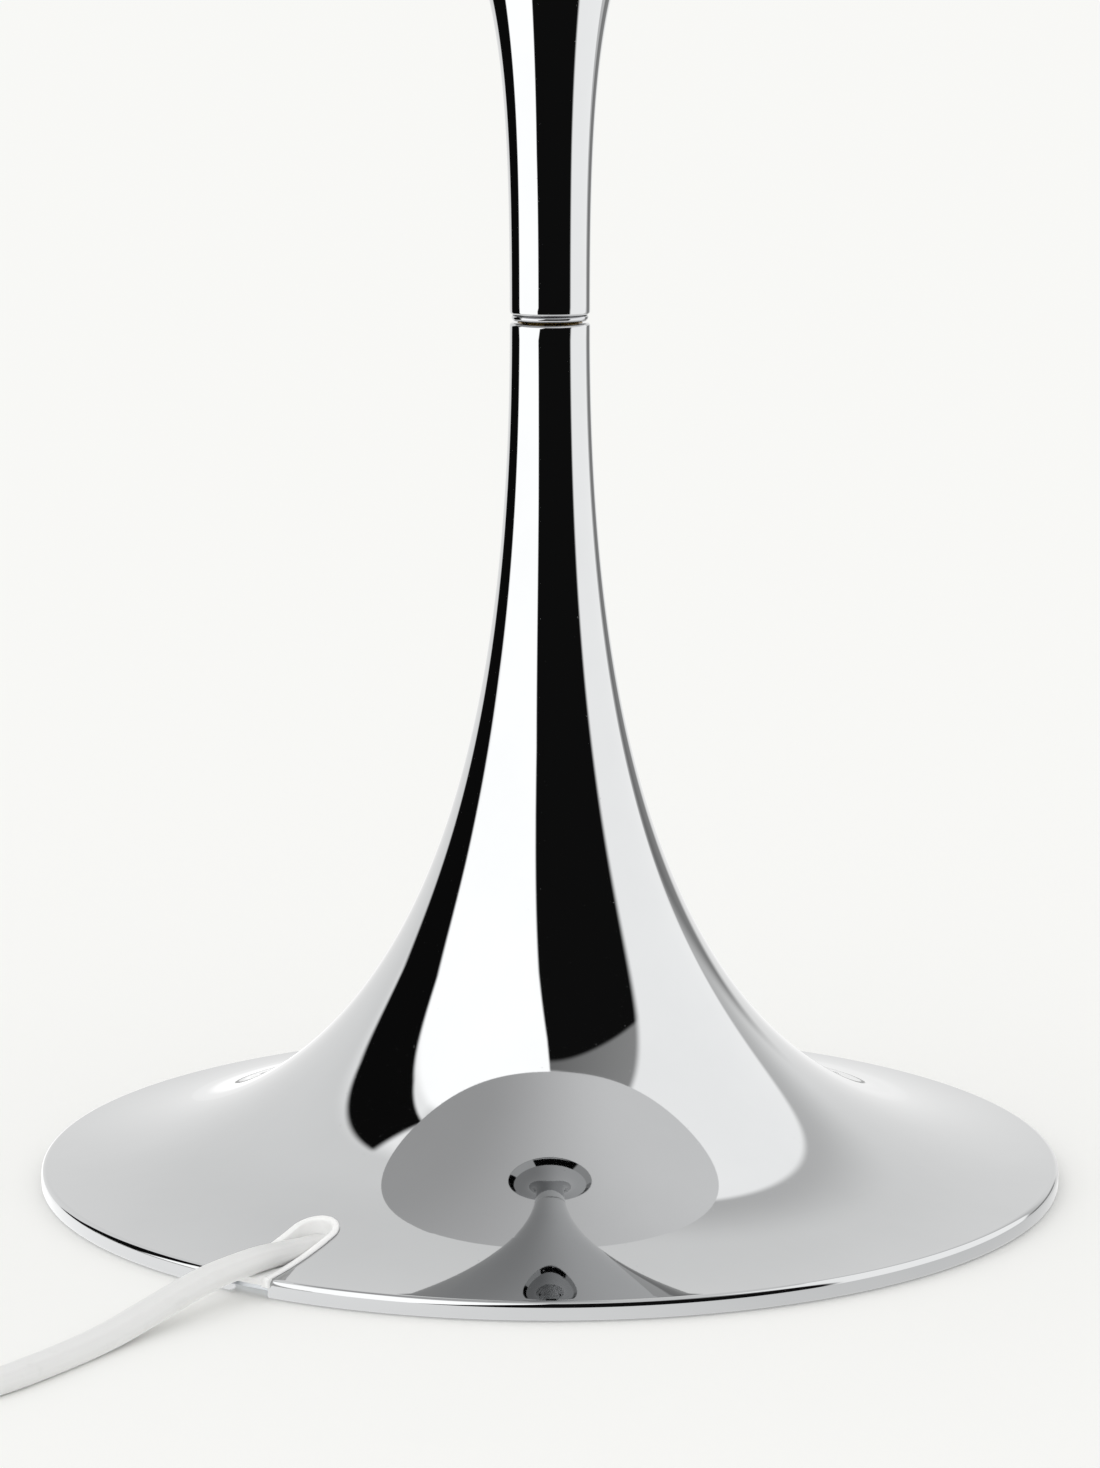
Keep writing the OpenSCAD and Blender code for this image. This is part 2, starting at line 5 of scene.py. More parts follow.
import bmesh
import bpy
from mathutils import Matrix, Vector


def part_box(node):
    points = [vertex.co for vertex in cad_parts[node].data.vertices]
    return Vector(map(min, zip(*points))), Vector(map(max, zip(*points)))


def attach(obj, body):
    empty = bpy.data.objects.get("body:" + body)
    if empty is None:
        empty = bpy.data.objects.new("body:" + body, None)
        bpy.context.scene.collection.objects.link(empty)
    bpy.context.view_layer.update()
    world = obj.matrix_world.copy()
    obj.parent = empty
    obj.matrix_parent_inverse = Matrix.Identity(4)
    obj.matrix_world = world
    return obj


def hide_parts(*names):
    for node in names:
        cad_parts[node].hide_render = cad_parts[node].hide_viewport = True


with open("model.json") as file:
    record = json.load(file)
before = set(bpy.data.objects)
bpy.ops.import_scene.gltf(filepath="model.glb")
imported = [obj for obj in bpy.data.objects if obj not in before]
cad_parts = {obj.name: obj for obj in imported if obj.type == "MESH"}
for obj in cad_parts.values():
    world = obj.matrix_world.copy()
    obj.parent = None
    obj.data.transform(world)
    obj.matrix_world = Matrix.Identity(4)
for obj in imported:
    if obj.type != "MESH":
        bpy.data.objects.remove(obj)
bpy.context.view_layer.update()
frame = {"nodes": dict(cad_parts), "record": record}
scene = bpy.context.scene
nodes = frame["nodes"]
MM = 0.001


# ---------------------------------------------------------------- shader words
class Value:
    """A socket of a finish that can stand in a sum or a product."""

    def __init__(self, finish, socket):
        self.finish = finish
        self.socket = socket

    def op(self, operation, *others, first=None):
        values = [first if first is not None else self, *others]
        return self.finish.add("ShaderNodeMath", {"operation": operation}, dict(enumerate(values)))

    def __add__(self, other):
        return self.op("ADD", other)

    __radd__ = __add__

    def __mul__(self, other):
        return self.op("MULTIPLY", other)

    __rmul__ = __mul__

    def __sub__(self, other):
        return self.op("SUBTRACT", other)

    def __rsub__(self, other):
        return self.op("SUBTRACT", self, first=other)

    def __truediv__(self, other):
        return self.op("DIVIDE", other)

    def __rtruediv__(self, other):
        return self.op("DIVIDE", self, first=other)

    def __pow__(self, other):
        return self.op("POWER", other)

    def __abs__(self):
        return self.op("ABSOLUTE")

    def highest(self, other):
        return self.op("MAXIMUM", other)

    def beside(self, name):
        """Another output of the node that this value comes from."""
        return Value(self.finish, self.socket.node.outputs[name])

    def fit(self, low, high):
        """Rises softly from 0 at the low value to 1 at the high one."""
        settings = {"interpolation_type": "SMOOTHSTEP", "data_type": "FLOAT"}
        sockets = {"Value": self, "From Min": low, "From Max": high}
        return self.finish.add("ShaderNodeMapRange", settings, sockets)


class Finish:
    """A node tree that is written as plain expressions."""

    def __init__(self, tree):
        self.tree = tree
        tree.nodes.clear()

    def add(self, kind, settings=None, sockets=None, out=0):
        node = self.tree.nodes.new(kind)
        for name, value in (settings or {}).items():
            if name == "stops":
                self.set_stops(node.color_ramp, value)
            else:
                setattr(node, name, value)
        for name, value in (sockets or {}).items():
            target = self.find(node.inputs, name)
            if isinstance(value, Value):
                self.tree.links.new(value.socket, target)
            else:
                target.default_value = value
        if not node.outputs:
            return None
        return Value(self, self.find(node.outputs, out))

    @staticmethod
    def find(sockets, name):
        if isinstance(name, int):
            return sockets[name]
        return next(s for s in sockets if s.name == name and s.enabled)

    @staticmethod
    def set_stops(ramp, stops):
        while len(ramp.elements) < len(stops):
            ramp.elements.new(0.5)
        for element, (place, colour) in zip(ramp.elements, stops):
            element.position = place
            element.color = colour

    def place(self, out="Object"):
        return self.add("ShaderNodeTexCoord", out=out)

    def split(self, vector):
        """The first part of a vector. Its other parts stand beside it."""
        return self.add("ShaderNodeSeparateXYZ", None, {"Vector": vector}, out="X")

    def noise(self, scale, detail=3.0, rough=0.5, at=None, stretch=None):
        where = at or self.place()
        if stretch:
            where = self.add("ShaderNodeVectorMath", {"operation": "MULTIPLY"}, {0: where, 1: stretch})
        sockets = {"Vector": where, "Scale": scale, "Detail": detail, "Roughness": rough}
        return self.add("ShaderNodeTexNoise", None, sockets)

    def mix(self, factor, a, b):
        settings = {"data_type": "RGBA", "blend_type": "MIX"}
        return self.add("ShaderNodeMix", settings, {"Factor": factor, "A": a, "B": b}, out="Result")

    def bump(self, height, strength, distance):
        sockets = {"Strength": strength, "Distance": distance, "Height": height}
        return self.add("ShaderNodeBump", None, sockets)

    def shell(self, **sockets):
        named = {name.replace("_", " "): value for name, value in sockets.items()}
        surface = self.add("ShaderNodeBsdfPrincipled", None, named)
        self.add("ShaderNodeOutputMaterial", None, {"Surface": surface})

    def glow(self, tint, light):
        """Light of a stage piece, as a fixed tint with a light that may change from place to place."""
        colour = self.add("ShaderNodeVectorMath", {"operation": "SCALE"}, {"Vector": tint, "Scale": light})
        surface = self.add("ShaderNodeEmission", None, {"Color": colour, "Strength": 1 / MIRROR})
        self.add("ShaderNodeOutputMaterial", None, {"Surface": surface})


def rgb(r, g, b):
    """Linear colour of a screen colour that is given from 0 to 255."""
    def straighten(v):
        v = v / 255
        return v / 12.92 if v <= 0.04045 else ((v + 0.055) / 1.055) ** 2.4
    return (straighten(r), straighten(g), straighten(b), 1.0)


def new_finish(name):
    material = bpy.data.materials.new(name)
    material.use_nodes = True
    return material, Finish(material.node_tree)


def edge_wear(f):
    """How much of an outer edge a place is, which is where plate and plastic are rubbed bright."""
    return f.add("ShaderNodeNewGeometry", out="Pointiness").fit(0.52, 0.60)


# ------------------------------------------------------------------- finishes
SOFT_WHITE = (1.0, 0.96, 0.93)  # how far red, green and blue light goes into white plastic


def polished_chrome(name, tint, dull=9, haze=0.02):
    """Mirror plate: fine polishing lines, faint wipe marks and a few dust specks."""
    material, f = new_finish(name)
    cloud = f.noise(28.0, 4.0, 0.6)
    wipe = f.noise(160.0, 3.0, 0.6, stretch=(1.0, 1.0, 0.12))
    hair = f.noise(900.0, 2.0, 0.5, stretch=(1.0, 1.0, 0.04))
    specks = f.noise(1500.0, 1.0, 0.5).fit(0.74, 0.80)
    rough = haze + cloud.fit(0.45, 0.75) * 0.012 + wipe.fit(0.5, 0.8) * 0.01 + specks * 0.12
    base = f.mix(cloud.fit(0.3, 0.8) * 0.35, rgb(*tint), rgb(*[c - dull for c in tint]))
    normal = f.bump(hair * 0.6 + wipe * 0.4, 0.02, 0.00002)
    f.shell(Base_Color=base, Metallic=1.0, Roughness=rough, Normal=normal, IOR=2.5)
    return material


def satin_metal(name, tint, roughness=0.34, turned=True, grain=1400.0):
    """Turned or brushed plate: rings about the axis or short cut marks."""
    material, f = new_finish(name)
    if turned:
        x = f.split(f.place())
        y = x.beside("Y")
        radius = (x * x + y * y) ** 0.5
        marks = f.add("ShaderNodeTexNoise", {"noise_dimensions": "1D"},
                      {"W": radius * grain * 3.0, "Scale": 1.0, "Detail": 2.0})
    else:
        marks = f.noise(grain, 3.0, 0.6, stretch=(1.0, 0.08, 1.0))
    blotch = f.noise(120.0, 3.0, 0.55)
    rough = roughness + (marks - 0.5) * 0.16 + (blotch - 0.5) * 0.1
    dull = tuple(int(c * 0.82) for c in tint)
    worn = tuple(min(255, int(c * 1.07)) for c in tint)
    base = f.mix(blotch.fit(0.35, 0.7), rgb(*tint), rgb(*dull))
    base = f.mix(edge_wear(f), base, rgb(*worn))
    normal = f.bump(marks, 0.25, 0.00004)
    f.shell(Base_Color=base, Metallic=1.0, Roughness=rough, Normal=normal)
    return material


def moulded_plastic(name, tint, roughness=0.3, coat=0.25, grain=0.12, see=0.12):
    """Glossy moulded plastic: flow clouding, fine spark grain and rubbed edges."""
    material, f = new_finish(name)
    cloud = f.noise(60.0, 3.0, 0.55)
    spark = f.noise(2600.0, 2.0, 0.6)
    grime = tuple(max(0, c - 14) for c in tint)
    base = f.mix(cloud.fit(0.4, 0.75) * 0.35, rgb(*tint), rgb(*grime))
    base = f.mix(edge_wear(f) * 0.5, base, rgb(*[min(255, c + 6) for c in tint]))
    rough = roughness + (cloud - 0.5) * 0.12 + (spark - 0.5) * 0.08
    normal = f.bump(spark, grain, 0.00005)
    f.shell(Base_Color=base, Roughness=rough, Normal=normal, Coat_Weight=coat,
            Coat_Roughness=0.18, Subsurface_Weight=see, Subsurface_Scale=0.0012,
            Subsurface_Radius=SOFT_WHITE, IOR=1.49)
    return material


def cord_sheath(name, tint):
    """Soft extruded sheath: draw lines along the cord and scuffs where it drags."""
    material, f = new_finish(name)
    along = f.place("UV")
    lines = f.noise(1.0, 3.0, 0.6, at=along, stretch=(90.0, 1.5, 1.0))
    scuff = f.noise(220.0, 3.0, 0.6).fit(0.56, 0.74)
    base = f.mix(lines.fit(0.35, 0.7) * 0.25, rgb(*tint), rgb(*[c - 9 for c in tint]))
    base = f.mix(scuff * 0.3, base, rgb(*[c - 16 for c in tint]))
    rough = 0.42 + (lines - 0.5) * 0.12 + scuff * 0.14
    normal = f.bump(lines + f.noise(3000.0, 2.0, 0.6) * 0.3, 0.10, 0.00006)
    f.shell(Base_Color=base, Roughness=rough, Normal=normal, Subsurface_Weight=0.18,
            Subsurface_Scale=0.0014, Subsurface_Radius=SOFT_WHITE, Coat_Weight=0.08,
            Coat_Roughness=0.3, IOR=1.48)
    return material


def cast_iron(name):
    """Rough casting with a trace of rust."""
    material, f = new_finish(name)
    lumps = f.noise(700.0, 4.0, 0.65)
    rust = f.noise(45.0, 4.0, 0.6).fit(0.55, 0.75)
    base = f.mix(lumps.fit(0.3, 0.7), rgb(62, 62, 64), rgb(38, 38, 40))
    base = f.mix(rust * 0.5, base, rgb(84, 62, 48))
    f.shell(Base_Color=base, Metallic=0.6, Roughness=0.6 + (lumps - 0.5) * 0.3,
            Normal=f.bump(lumps, 0.6, 0.0004))
    return material


def wool_felt(name):
    """Dark pressed felt with loose fibres."""
    material, f = new_finish(name)
    fibre = f.noise(1800.0, 4.0, 0.75)
    mat = f.noise(260.0, 3.0, 0.6)
    base = f.mix(fibre.fit(0.3, 0.7), rgb(44, 44, 47), rgb(25, 25, 27))
    base = f.mix(mat.fit(0.45, 0.7) * 0.4, base, rgb(58, 58, 61))
    f.shell(Base_Color=base, Roughness=0.95, Normal=f.bump(fibre, 0.9, 0.0003),
            Sheen_Weight=0.6, Sheen_Roughness=0.5)
    return material


finishes = {
    "chrome": polished_chrome("chrome plate", (190, 191, 192)),
    "ring_chrome": polished_chrome("ring chrome", (186, 187, 189), 15, 0.05),
    "plate_satin": satin_metal("satin plate", (196, 198, 200), 0.33),
    "zinc": satin_metal("zinc plate", (188, 191, 194), 0.42, turned=False),
    "screw_steel": satin_metal("screw steel", (150, 152, 156), 0.38, turned=False),
    "washer_steel": satin_metal("washer steel", (182, 184, 187), 0.36),
    "pivot_steel": satin_metal("pivot steel", (196, 198, 200), 0.3, turned=False),
    "brass": satin_metal("turned brass", (205, 172, 96), 0.3),
    "pin_nickel": satin_metal("nickel pins", (206, 200, 186), 0.22, turned=False),
    "iron": cast_iron("cast iron"),
    "felt": wool_felt("wool felt"),
    "bush_white": moulded_plastic("bush white", (250, 250, 249), 0.32, 0.3),
    "clamp_nylon": moulded_plastic("clamp nylon", (232, 231, 224), 0.4, 0.1),
    "core_brown": moulded_plastic("brown core", (116, 70, 40), 0.35, 0.1, see=0.0),
    "core_blue": moulded_plastic("blue core", (44, 92, 164), 0.35, 0.1, see=0.0),
    "cord_white": cord_sheath("cord sheath", (228, 228, 227)),
    "tie_white": moulded_plastic("tie white", (236, 236, 234), 0.35, 0.15),
    "switch_white": moulded_plastic("switch white", (230, 230, 227), 0.3, 0.3, 0.25),
    "rocker_white": moulded_plastic("rocker white", (222, 222, 218), 0.24, 0.4, 0.08),
    "plug_white": moulded_plastic("plug white", (231, 231, 228), 0.34, 0.2, 0.3),
    "sleeve_white": moulded_plastic("sleeve white", (228, 228, 225), 0.36, 0.15),
}


# --------------------------------------------------------------- camera, light
SENSOR_HEIGHT = 24.0
LENS = 76.839237
CAMERA_BACK = 0.900
CAMERA_HIGH = 0.2495
CAMERA_DOWN = math.radians(10.18)
BACKGROUND = rgb(248, 248, 246)
MIRROR = 0.51  # share of the light that the chrome plate sends back
FLOOR_COLOUR = rgb(249, 249, 247)
NEAR_WHITE = (1.0, 1.0, 0.996)
DARK_WALL, DARK_OPENING, OVERHEAD = 0.003, 0.004, 0.45  # light of the studio's parts

camera_data = bpy.data.cameras.new("camera")
camera_data.sensor_fit = "VERTICAL"
camera_data.sensor_height = SENSOR_HEIGHT
camera_data.lens = LENS
camera = bpy.data.objects.new("camera", camera_data)
camera.location = (0.0, -CAMERA_BACK, CAMERA_HIGH)
camera.rotation_euler = (math.pi / 2 - CAMERA_DOWN, 0.0, 0.0)
scene.collection.objects.link(camera)
scene.camera = camera
scene.view_settings.view_transform = "Standard"
scene.view_settings.look = "None"


def studio_light():
    """Soft light all round. A polished surface meets black and white studio walls instead."""
    world = bpy.data.worlds.new("studio")
    scene.world = world
    world.use_nodes = True
    world.cycles.sampling_method = "NONE"
    f = Finish(world.node_tree)
    x = f.split(f.place("Generated"))
    y = x.beside("Y")
    z = x.beside("Z")
    turn = f.add("ShaderNodeMath", {"operation": "ARCTAN2"}, {0: x, 1: 0.0 - y}) * (180 / math.pi)
    rise = f.add("ShaderNodeMath", {"operation": "ARCSINE"}, {0: z}) * (180 / math.pi)

    def between(value, low, high, soft_low, soft_high):
        start = (value - low).fit(-soft_low, soft_low)
        end = (high - value).fit(-soft_high, soft_high)
        return start * end

    lowest, span = -20, 90

    def edge(points):
        """Where a wall's upright edge stands at each height, as a turn in degrees."""
        stops = [((r - lowest) / span, ((t + 180) / 360,) * 3 + (1.0,)) for r, t in points]
        ramp = f.add("ShaderNodeValToRGB", {"stops": stops}, {0: (rise - lowest) / span})
        red = f.add("ShaderNodeSeparateColor", None, {0: ramp})
        return red * 360 - 180

    # Bright side walls, with a greyer stretch behind on the right
    past = turn - 137 - (rise - 20) * 0.5
    glow = past.fit(-1.5, 1.5) * (1 - past.fit(1.0, 22.0) * 0.45)
    front = between(turn, -98, 10, 3, 3)
    left_back = between(turn, -200, -129, 3, 6)
    level = 0.79 - glow * 0.38 + front * 0.20 - left_back * 0.22
    level = level - abs(turn).fit(142.0, 165.0) * 0.04
    level = level - (rise - 58).fit(0.0, 6.0) * between(turn, -175, -96, 4, 3) * 0.30
    sliver = between(turn, 131, 153, 4, 4) * (1 - rise.fit(4.0, 12.0))
    level = level * (1 - sliver * 0.7)
    # Dark wall on the left
    left_edge = edge([(-5, -140), (0, -137), (15, -129), (30, -128), (55, -132)])
    right_edge = edge([(-20, -96), (-6, -97), (3, -101), (15, -97.5), (30, -95), (50, -100.5),
                       (62, -108)])
    wall = (turn - left_edge).fit(-1.5, 1.5) * (right_edge - turn).fit(-1.5, 1.5)
    wall = wall * (61 - rise + (turn + 108) * 0.3).fit(-1.0, 1.0)
    # Dark opening on the right of the camera, with a grey band above it
    start = edge([(-8, -36), (0, -29), (15, -20), (30, -15), (45, -10), (60, -2.5), (68, 0)])
    stop = edge([(-8, 60), (0, 62), (15, 65), (30, 67.5), (45, 70), (68, 72)])
    opening = (turn - start).fit(-1.2, 1.2) * (stop - turn).fit(-3.0, 3.0)
    top = 65.5 - (turn.highest(0.0) / 68) ** 2.0 * 18.0
    opening = opening * (68.5 - rise).fit(-1.0, 1.0)
    band = (rise - top).fit(-0.8, 0.8)
    level = level * (1 - wall) * (1 - opening)
    level = level + wall * DARK_WALL + opening * (DARK_OPENING + band * (0.12 + turn * 0.0014))
    # Overhead is a mid grey
    over = rise.fit(68.0, 74.0)
    level = level * (1 - over) + over * OVERHEAD
    # What is mirrored twice, such as the stand in its own foot, comes back darker
    path = f.add("ShaderNodeLightPath", out="Is Camera Ray")
    bounces = path.beside("Glossy Depth")
    level = level * (1 - bounces.fit(1.2, 1.8) * 0.5) / MIRROR
    mirror = f.add("ShaderNodeBackground", None, {"Color": (1.0, 1.0, 0.995, 1.0), "Strength": level})
    lamp = 0.90 + z.highest(0.0) * 0.14 - x * 0.12 - y * 0.14
    soft = f.add("ShaderNodeBackground", None, {"Color": (1.0, 1.0, 0.996, 1.0), "Strength": lamp})
    seen = f.add("ShaderNodeBackground", None, {"Color": BACKGROUND, "Strength": 1.0})
    light = f.add("ShaderNodeMixShader", None, {0: path.beside("Is Glossy Ray"), 1: soft, 2: mirror})
    light = f.add("ShaderNodeMixShader", None, {0: path, 1: light, 2: seen})
    f.add("ShaderNodeOutputWorld", None, {"Surface": light})


studio_light()


# ------------------------------------------------------------------ mesh words
def make_mesh(name, points, faces, smooth=True):
    mesh = bpy.data.meshes.new(name)
    mesh.from_pydata([tuple(p) for p in points], [], faces)
    mesh.update()
    if smooth:
        mesh.polygons.foreach_set("use_smooth", [True] * len(mesh.polygons))
    obj = bpy.data.objects.new(name, mesh)
    scene.collection.objects.link(obj)
    return obj


def finish_piece(obj, body, slot, replaced=(), crease=None, merge=None):
    """Gives a piece its material and body, and makes its faces point outwards.

    Edges that turn by more than the crease angle stay sharp."""
    work = bmesh.new()
    work.from_mesh(obj.data)
    if merge:
        bmesh.ops.remove_doubles(work, verts=work.verts, dist=merge)
    bmesh.ops.recalc_face_normals(work, faces=work.faces)
    if crease is not None:
        for line in work.edges:
            if len(line.link_faces) == 2 and line.calc_face_angle(0.0) > math.radians(crease):
                line.smooth = False
    work.to_mesh(obj.data)
    work.free()
    obj.data.materials.clear()
    obj.data.materials.append(finishes[slot])
    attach(obj, body)
    if replaced:
        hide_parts(*replaced)
    return obj


def bezier(points, t):
    s = 1 - t
    a, b, c, d = (Vector(p) for p in points)
    return a * s ** 3 + b * 3 * t * s * s + c * 3 * t * t * s + d * t ** 3


def bezier_way(points, t):
    s = 1 - t
    a, b, c, d = (Vector(p) for p in points)
    return ((b - a) * s * s + (c - b) * 2 * s * t + (d - c) * t * t).normalized()


def beside(points, t, distance, side):
    """A point that stands square off the curve by a distance."""
    way = bezier_way(points, t)
    return bezier(points, t) + Vector((way[1], -way[0])) * distance * side


def arc(centre, radius, start, end, count=6):
    angles = [math.radians(start + (end - start) * i / count) for i in range(count + 1)]
    return [Vector((centre[0] + radius * math.cos(a), centre[1] + radius * math.sin(a))) for a in angles]


def revolve(name, profile, columns):
    """Turns a closed profile of (radius, height) in millimetres about the axis."""
    n = len(profile)
    points, faces = [], []
    for k in range(columns):
        turn = 2 * math.pi * k / columns
        after = (k + 1) % columns
        for i, (r, z) in enumerate(profile):
            j = (i + 1) % n
            points.append((r * math.cos(turn) * MM, r * math.sin(turn) * MM, z * MM))
            faces.append((k * n + i, after * n + i, after * n + j, k * n + j))
    return make_mesh(name, points, faces)


def circle(radius, height, columns):
    """A ring of points in metres about the axis, from millimetres."""
    turns = [2 * math.pi * k / columns for k in range(columns)]
    return [(radius * math.cos(a) * MM, radius * math.sin(a) * MM, height * MM) for a in turns]


def rounded_outline(length, width, corner, per_corner=10):
    """Corner-rounded rectangle about the origin, anticlockwise."""
    out = []
    corner = min(corner, length / 2 - 0.01, width / 2 - 0.01)
    for sx, sy, start in ((1, 1, 0), (-1, 1, 90), (-1, -1, 180), (1, -1, 270)):
        for i in range(per_corner + 1):
            a = math.radians(start + 90 * i / per_corner)
            out.append((sx * (length / 2 - corner) + corner * math.cos(a),
                        sy * (width / 2 - corner) + corner * math.sin(a)))
    return out


def skin_of(name, rings, loop=False):
    """Joins rings of points, all in metres and with the same count, into one closed surface."""
    n = len(rings[0])
    points = [p for ring in rings for p in ring]
    faces = []
    last = len(rings) if loop else len(rings) - 1
    for i in range(last):
        a, b = i * n, ((i + 1) % len(rings)) * n
        for j in range(n):
            k = (j + 1) % n
            faces.append((a + j, a + k, b + k, b + j))
    if not loop:
        faces.append(tuple(range(n - 1, -1, -1)))
        faces.append(tuple((len(rings) - 1) * n + j for j in range(n)))
    return make_mesh(name, points, faces)


# ------------------------------------------------------------ measures, in mm
# The foot's rim, the neck joint, the cover's seat, the bell, the cord and its slot
BASE_R, RIM_TOP, RIM_BOTTOM, RIM_LIP, WALL = 100.0, 3.7, 0.3, 2.0, 1.5
SEAM_Z, NECK_R, RING_H, EDGE_R, RIM_ROUND = 168.0, 7.75, 1.6, 0.6, 0.5
COVER_TOP, LAND_R = 2.0, 95.0
STEM_Z = SEAM_Z + RING_H
BELL_Z = STEM_Z + 92.0
BELL_R = 34.0
FOOT_CURVE = [(NECK_R, SEAM_Z - EDGE_R), (NECK_R, SEAM_Z - 111), (39.0, 8.2),
              (BASE_R - RIM_ROUND, RIM_TOP)]
STEM_CURVE = [(NECK_R, STEM_Z + EDGE_R), (NECK_R, STEM_Z + 50.6), (NECK_R + 1.85, STEM_Z + 78.2),
              (BELL_R - WALL / 2, BELL_Z - WALL / 2)]
CORD_AZ = math.radians(237.0)
CORD_W, CORD_T = 6.6, 3.5
SLOT_HALF = 4.35
SLOT_IN = 75.45  # radius at which the cord's slot starts
SOFT_RIM_R = 98.8  # where the skin starts to turn down over the rim
PLATE_Z = 247.6


def lookup(table, at):
    """Straight-line reading of a table of (key, value) whose keys rise."""
    keys = [k for k, _ in table]
    i = min(max(bisect.bisect_left(keys, at), 1), len(keys) - 1)
    (a, u), (b, v) = table[i - 1], table[i]
    return u + (v - u) * (at - a) / (b - a)


SKIN_HEIGHT = sorted(tuple(bezier(FOOT_CURVE, i / 600)) for i in range(601))
UNDER_HEIGHT = sorted(tuple(beside(FOOT_CURVE, i / 600, WALL, 1)) for i in range(601))


def skin_z(r):
    """Height of the foot's outer skin at a radius."""
    return lookup(SKIN_HEIGHT, min(r, BASE_R - RIM_ROUND))


# ------------------------------------------------------------------- the foot
def slot_turn(r):
    """Half the angle that the cord's slot takes out of a circle of radius r."""
    if r <= SLOT_IN:
        return 0.0
    deep = r - SLOT_IN
    if deep < SLOT_HALF:
        half = math.sqrt(max(SLOT_HALF ** 2 - (SLOT_HALF - deep) ** 2, 0.0))
    else:
        half = SLOT_HALF
    return math.asin(half / r)


def make_foot():
    """One spun shell. Its columns open round the slot, so that the slot is cut clean."""
    columns = 320
    past_slot_end = 80.5
    stations = [i / 150 for i in range(151)]
    outer = [tuple(bezier(FOOT_CURVE, t)) for t in stations]
    outer = [p for p in outer if p[0] < SLOT_IN - 0.05]
    rows = [SLOT_IN + SLOT_HALF * (1 - math.cos(math.radians(9 * i))) for i in range(11)]
    rows += [past_slot_end + (SOFT_RIM_R - past_slot_end) * i / 22 for i in range(23)]
    outer += [(r, skin_z(r)) for r in rows]
    top = [tuple(p) for p in arc((NECK_R - EDGE_R, SEAM_Z - EDGE_R), EDGE_R, 90, 0, 8)]
    soft = BASE_R - SOFT_RIM_R
    rim = [tuple(p) for p in arc((SOFT_RIM_R, skin_z(SOFT_RIM_R) - soft), soft, 84, 0, 14)]
    rim += [tuple(p) for p in arc((BASE_R - RIM_ROUND, RIM_BOTTOM + RIM_ROUND), RIM_ROUND, 0, -90, 6)]
    lip = [(BASE_R - RIM_LIP, RIM_BOTTOM), (BASE_R - RIM_LIP, COVER_TOP), (LAND_R, COVER_TOP)]
    inner = [(r, lookup(UNDER_HEIGHT, r)) for r in rows if r < LAND_R - 0.5]
    inner += [tuple(beside(FOOT_CURVE, t, WALL, 1)) for t in stations]
    inner = sorted({(round(r, 5), round(z, 5)) for r, z in inner if z > COVER_TOP and r < LAND_R - 0.5},
                   key=lambda q: -q[0])
    inner = [q for q in inner if q[0] >= NECK_R - WALL]
    profile = top + outer[1:] + rim + lip + inner + [(NECK_R - WALL, SEAM_Z)]
    n = len(profile)
    points = []
    for k in range(columns + 1):
        for r, z in profile:
            gap = slot_turn(r)
            turn = CORD_AZ + gap + (2 * math.pi - 2 * gap) * k / columns
            points.append((r * math.cos(turn) * MM, r * math.sin(turn) * MM, z * MM))
    faces = []
    for k in range(columns):
        for i in range(n):
            j = (i + 1) % n
            faces.append((k * n + i, (k + 1) * n + i, (k + 1) * n + j, k * n + j))
    # The two walls of the slot, each the cut section of the shell, from skin point to underside point
    cut = [i for i, (r, z) in enumerate(profile) if r > SLOT_IN - 0.01]
    inside = [i for i in cut if profile[i] in inner]
    pairs = []
    for i in cut:
        match = [j for j in inside if abs(profile[j][0] - profile[i][0]) < 0.02 and j > i + 3]
        if match and profile[i] in outer:
            pairs.append((i, match[0]))
    for k in (0, columns):
        for (a, b), (c, d) in zip(pairs, pairs[1:]):
            faces.append((k * n + a, k * n + c, k * n + d, k * n + b))
        a, b = pairs[-1]
        faces.append(tuple(k * n + i for i in range(a, b + 1)))
    foot = make_mesh("foot", points, faces)
    return finish_piece(foot, "root", "chrome", ["foot_shell"], crease=38, merge=0.000002)


def make_stem():
    """The turned upper stem, open at the top, with the small ledge that the plate sits on."""
    stations = [i / 130 for i in range(131)]
    outer = [tuple(bezier(STEM_CURVE, t)) for t in stations[1:-1]]
    inside = [tuple(beside(STEM_CURVE, t, WALL, -1)) for t in stations]
    inside_by_z = sorted((z, r) for r, z in inside)
    seat_r = lookup(inside_by_z, PLATE_Z)
    last = beside(STEM_CURVE, 1.0, WALL / 2, -1)
    end = bezier_way(STEM_CURVE, 1.0)
    lean = math.degrees(math.atan2(end[1], end[0]))
    profile = [(NECK_R - WALL, STEM_Z)]
    profile += [tuple(p) for p in arc((NECK_R - EDGE_R, STEM_Z + EDGE_R), EDGE_R, -90, 0, 8)]
    profile += outer
    profile += [tuple(p) for p in arc(last, WALL / 2, lean - 90, lean + 90, 12)]
    down = inside[::-1]
    profile += [p for p in down if PLATE_Z + 0.3 < p[1] < BELL_Z - WALL / 2 - 1.2]
    profile += [(seat_r, PLATE_Z), (seat_r - 1.5, PLATE_Z), (seat_r - 1.5, PLATE_Z - 1.5)]
    profile += [p for p in down if STEM_Z + 1.0 < p[1] < PLATE_Z - 3.0]
    return finish_piece(revolve("upper-stem", profile, 256), "stem", "chrome", ["upper_stem"], crease=38)


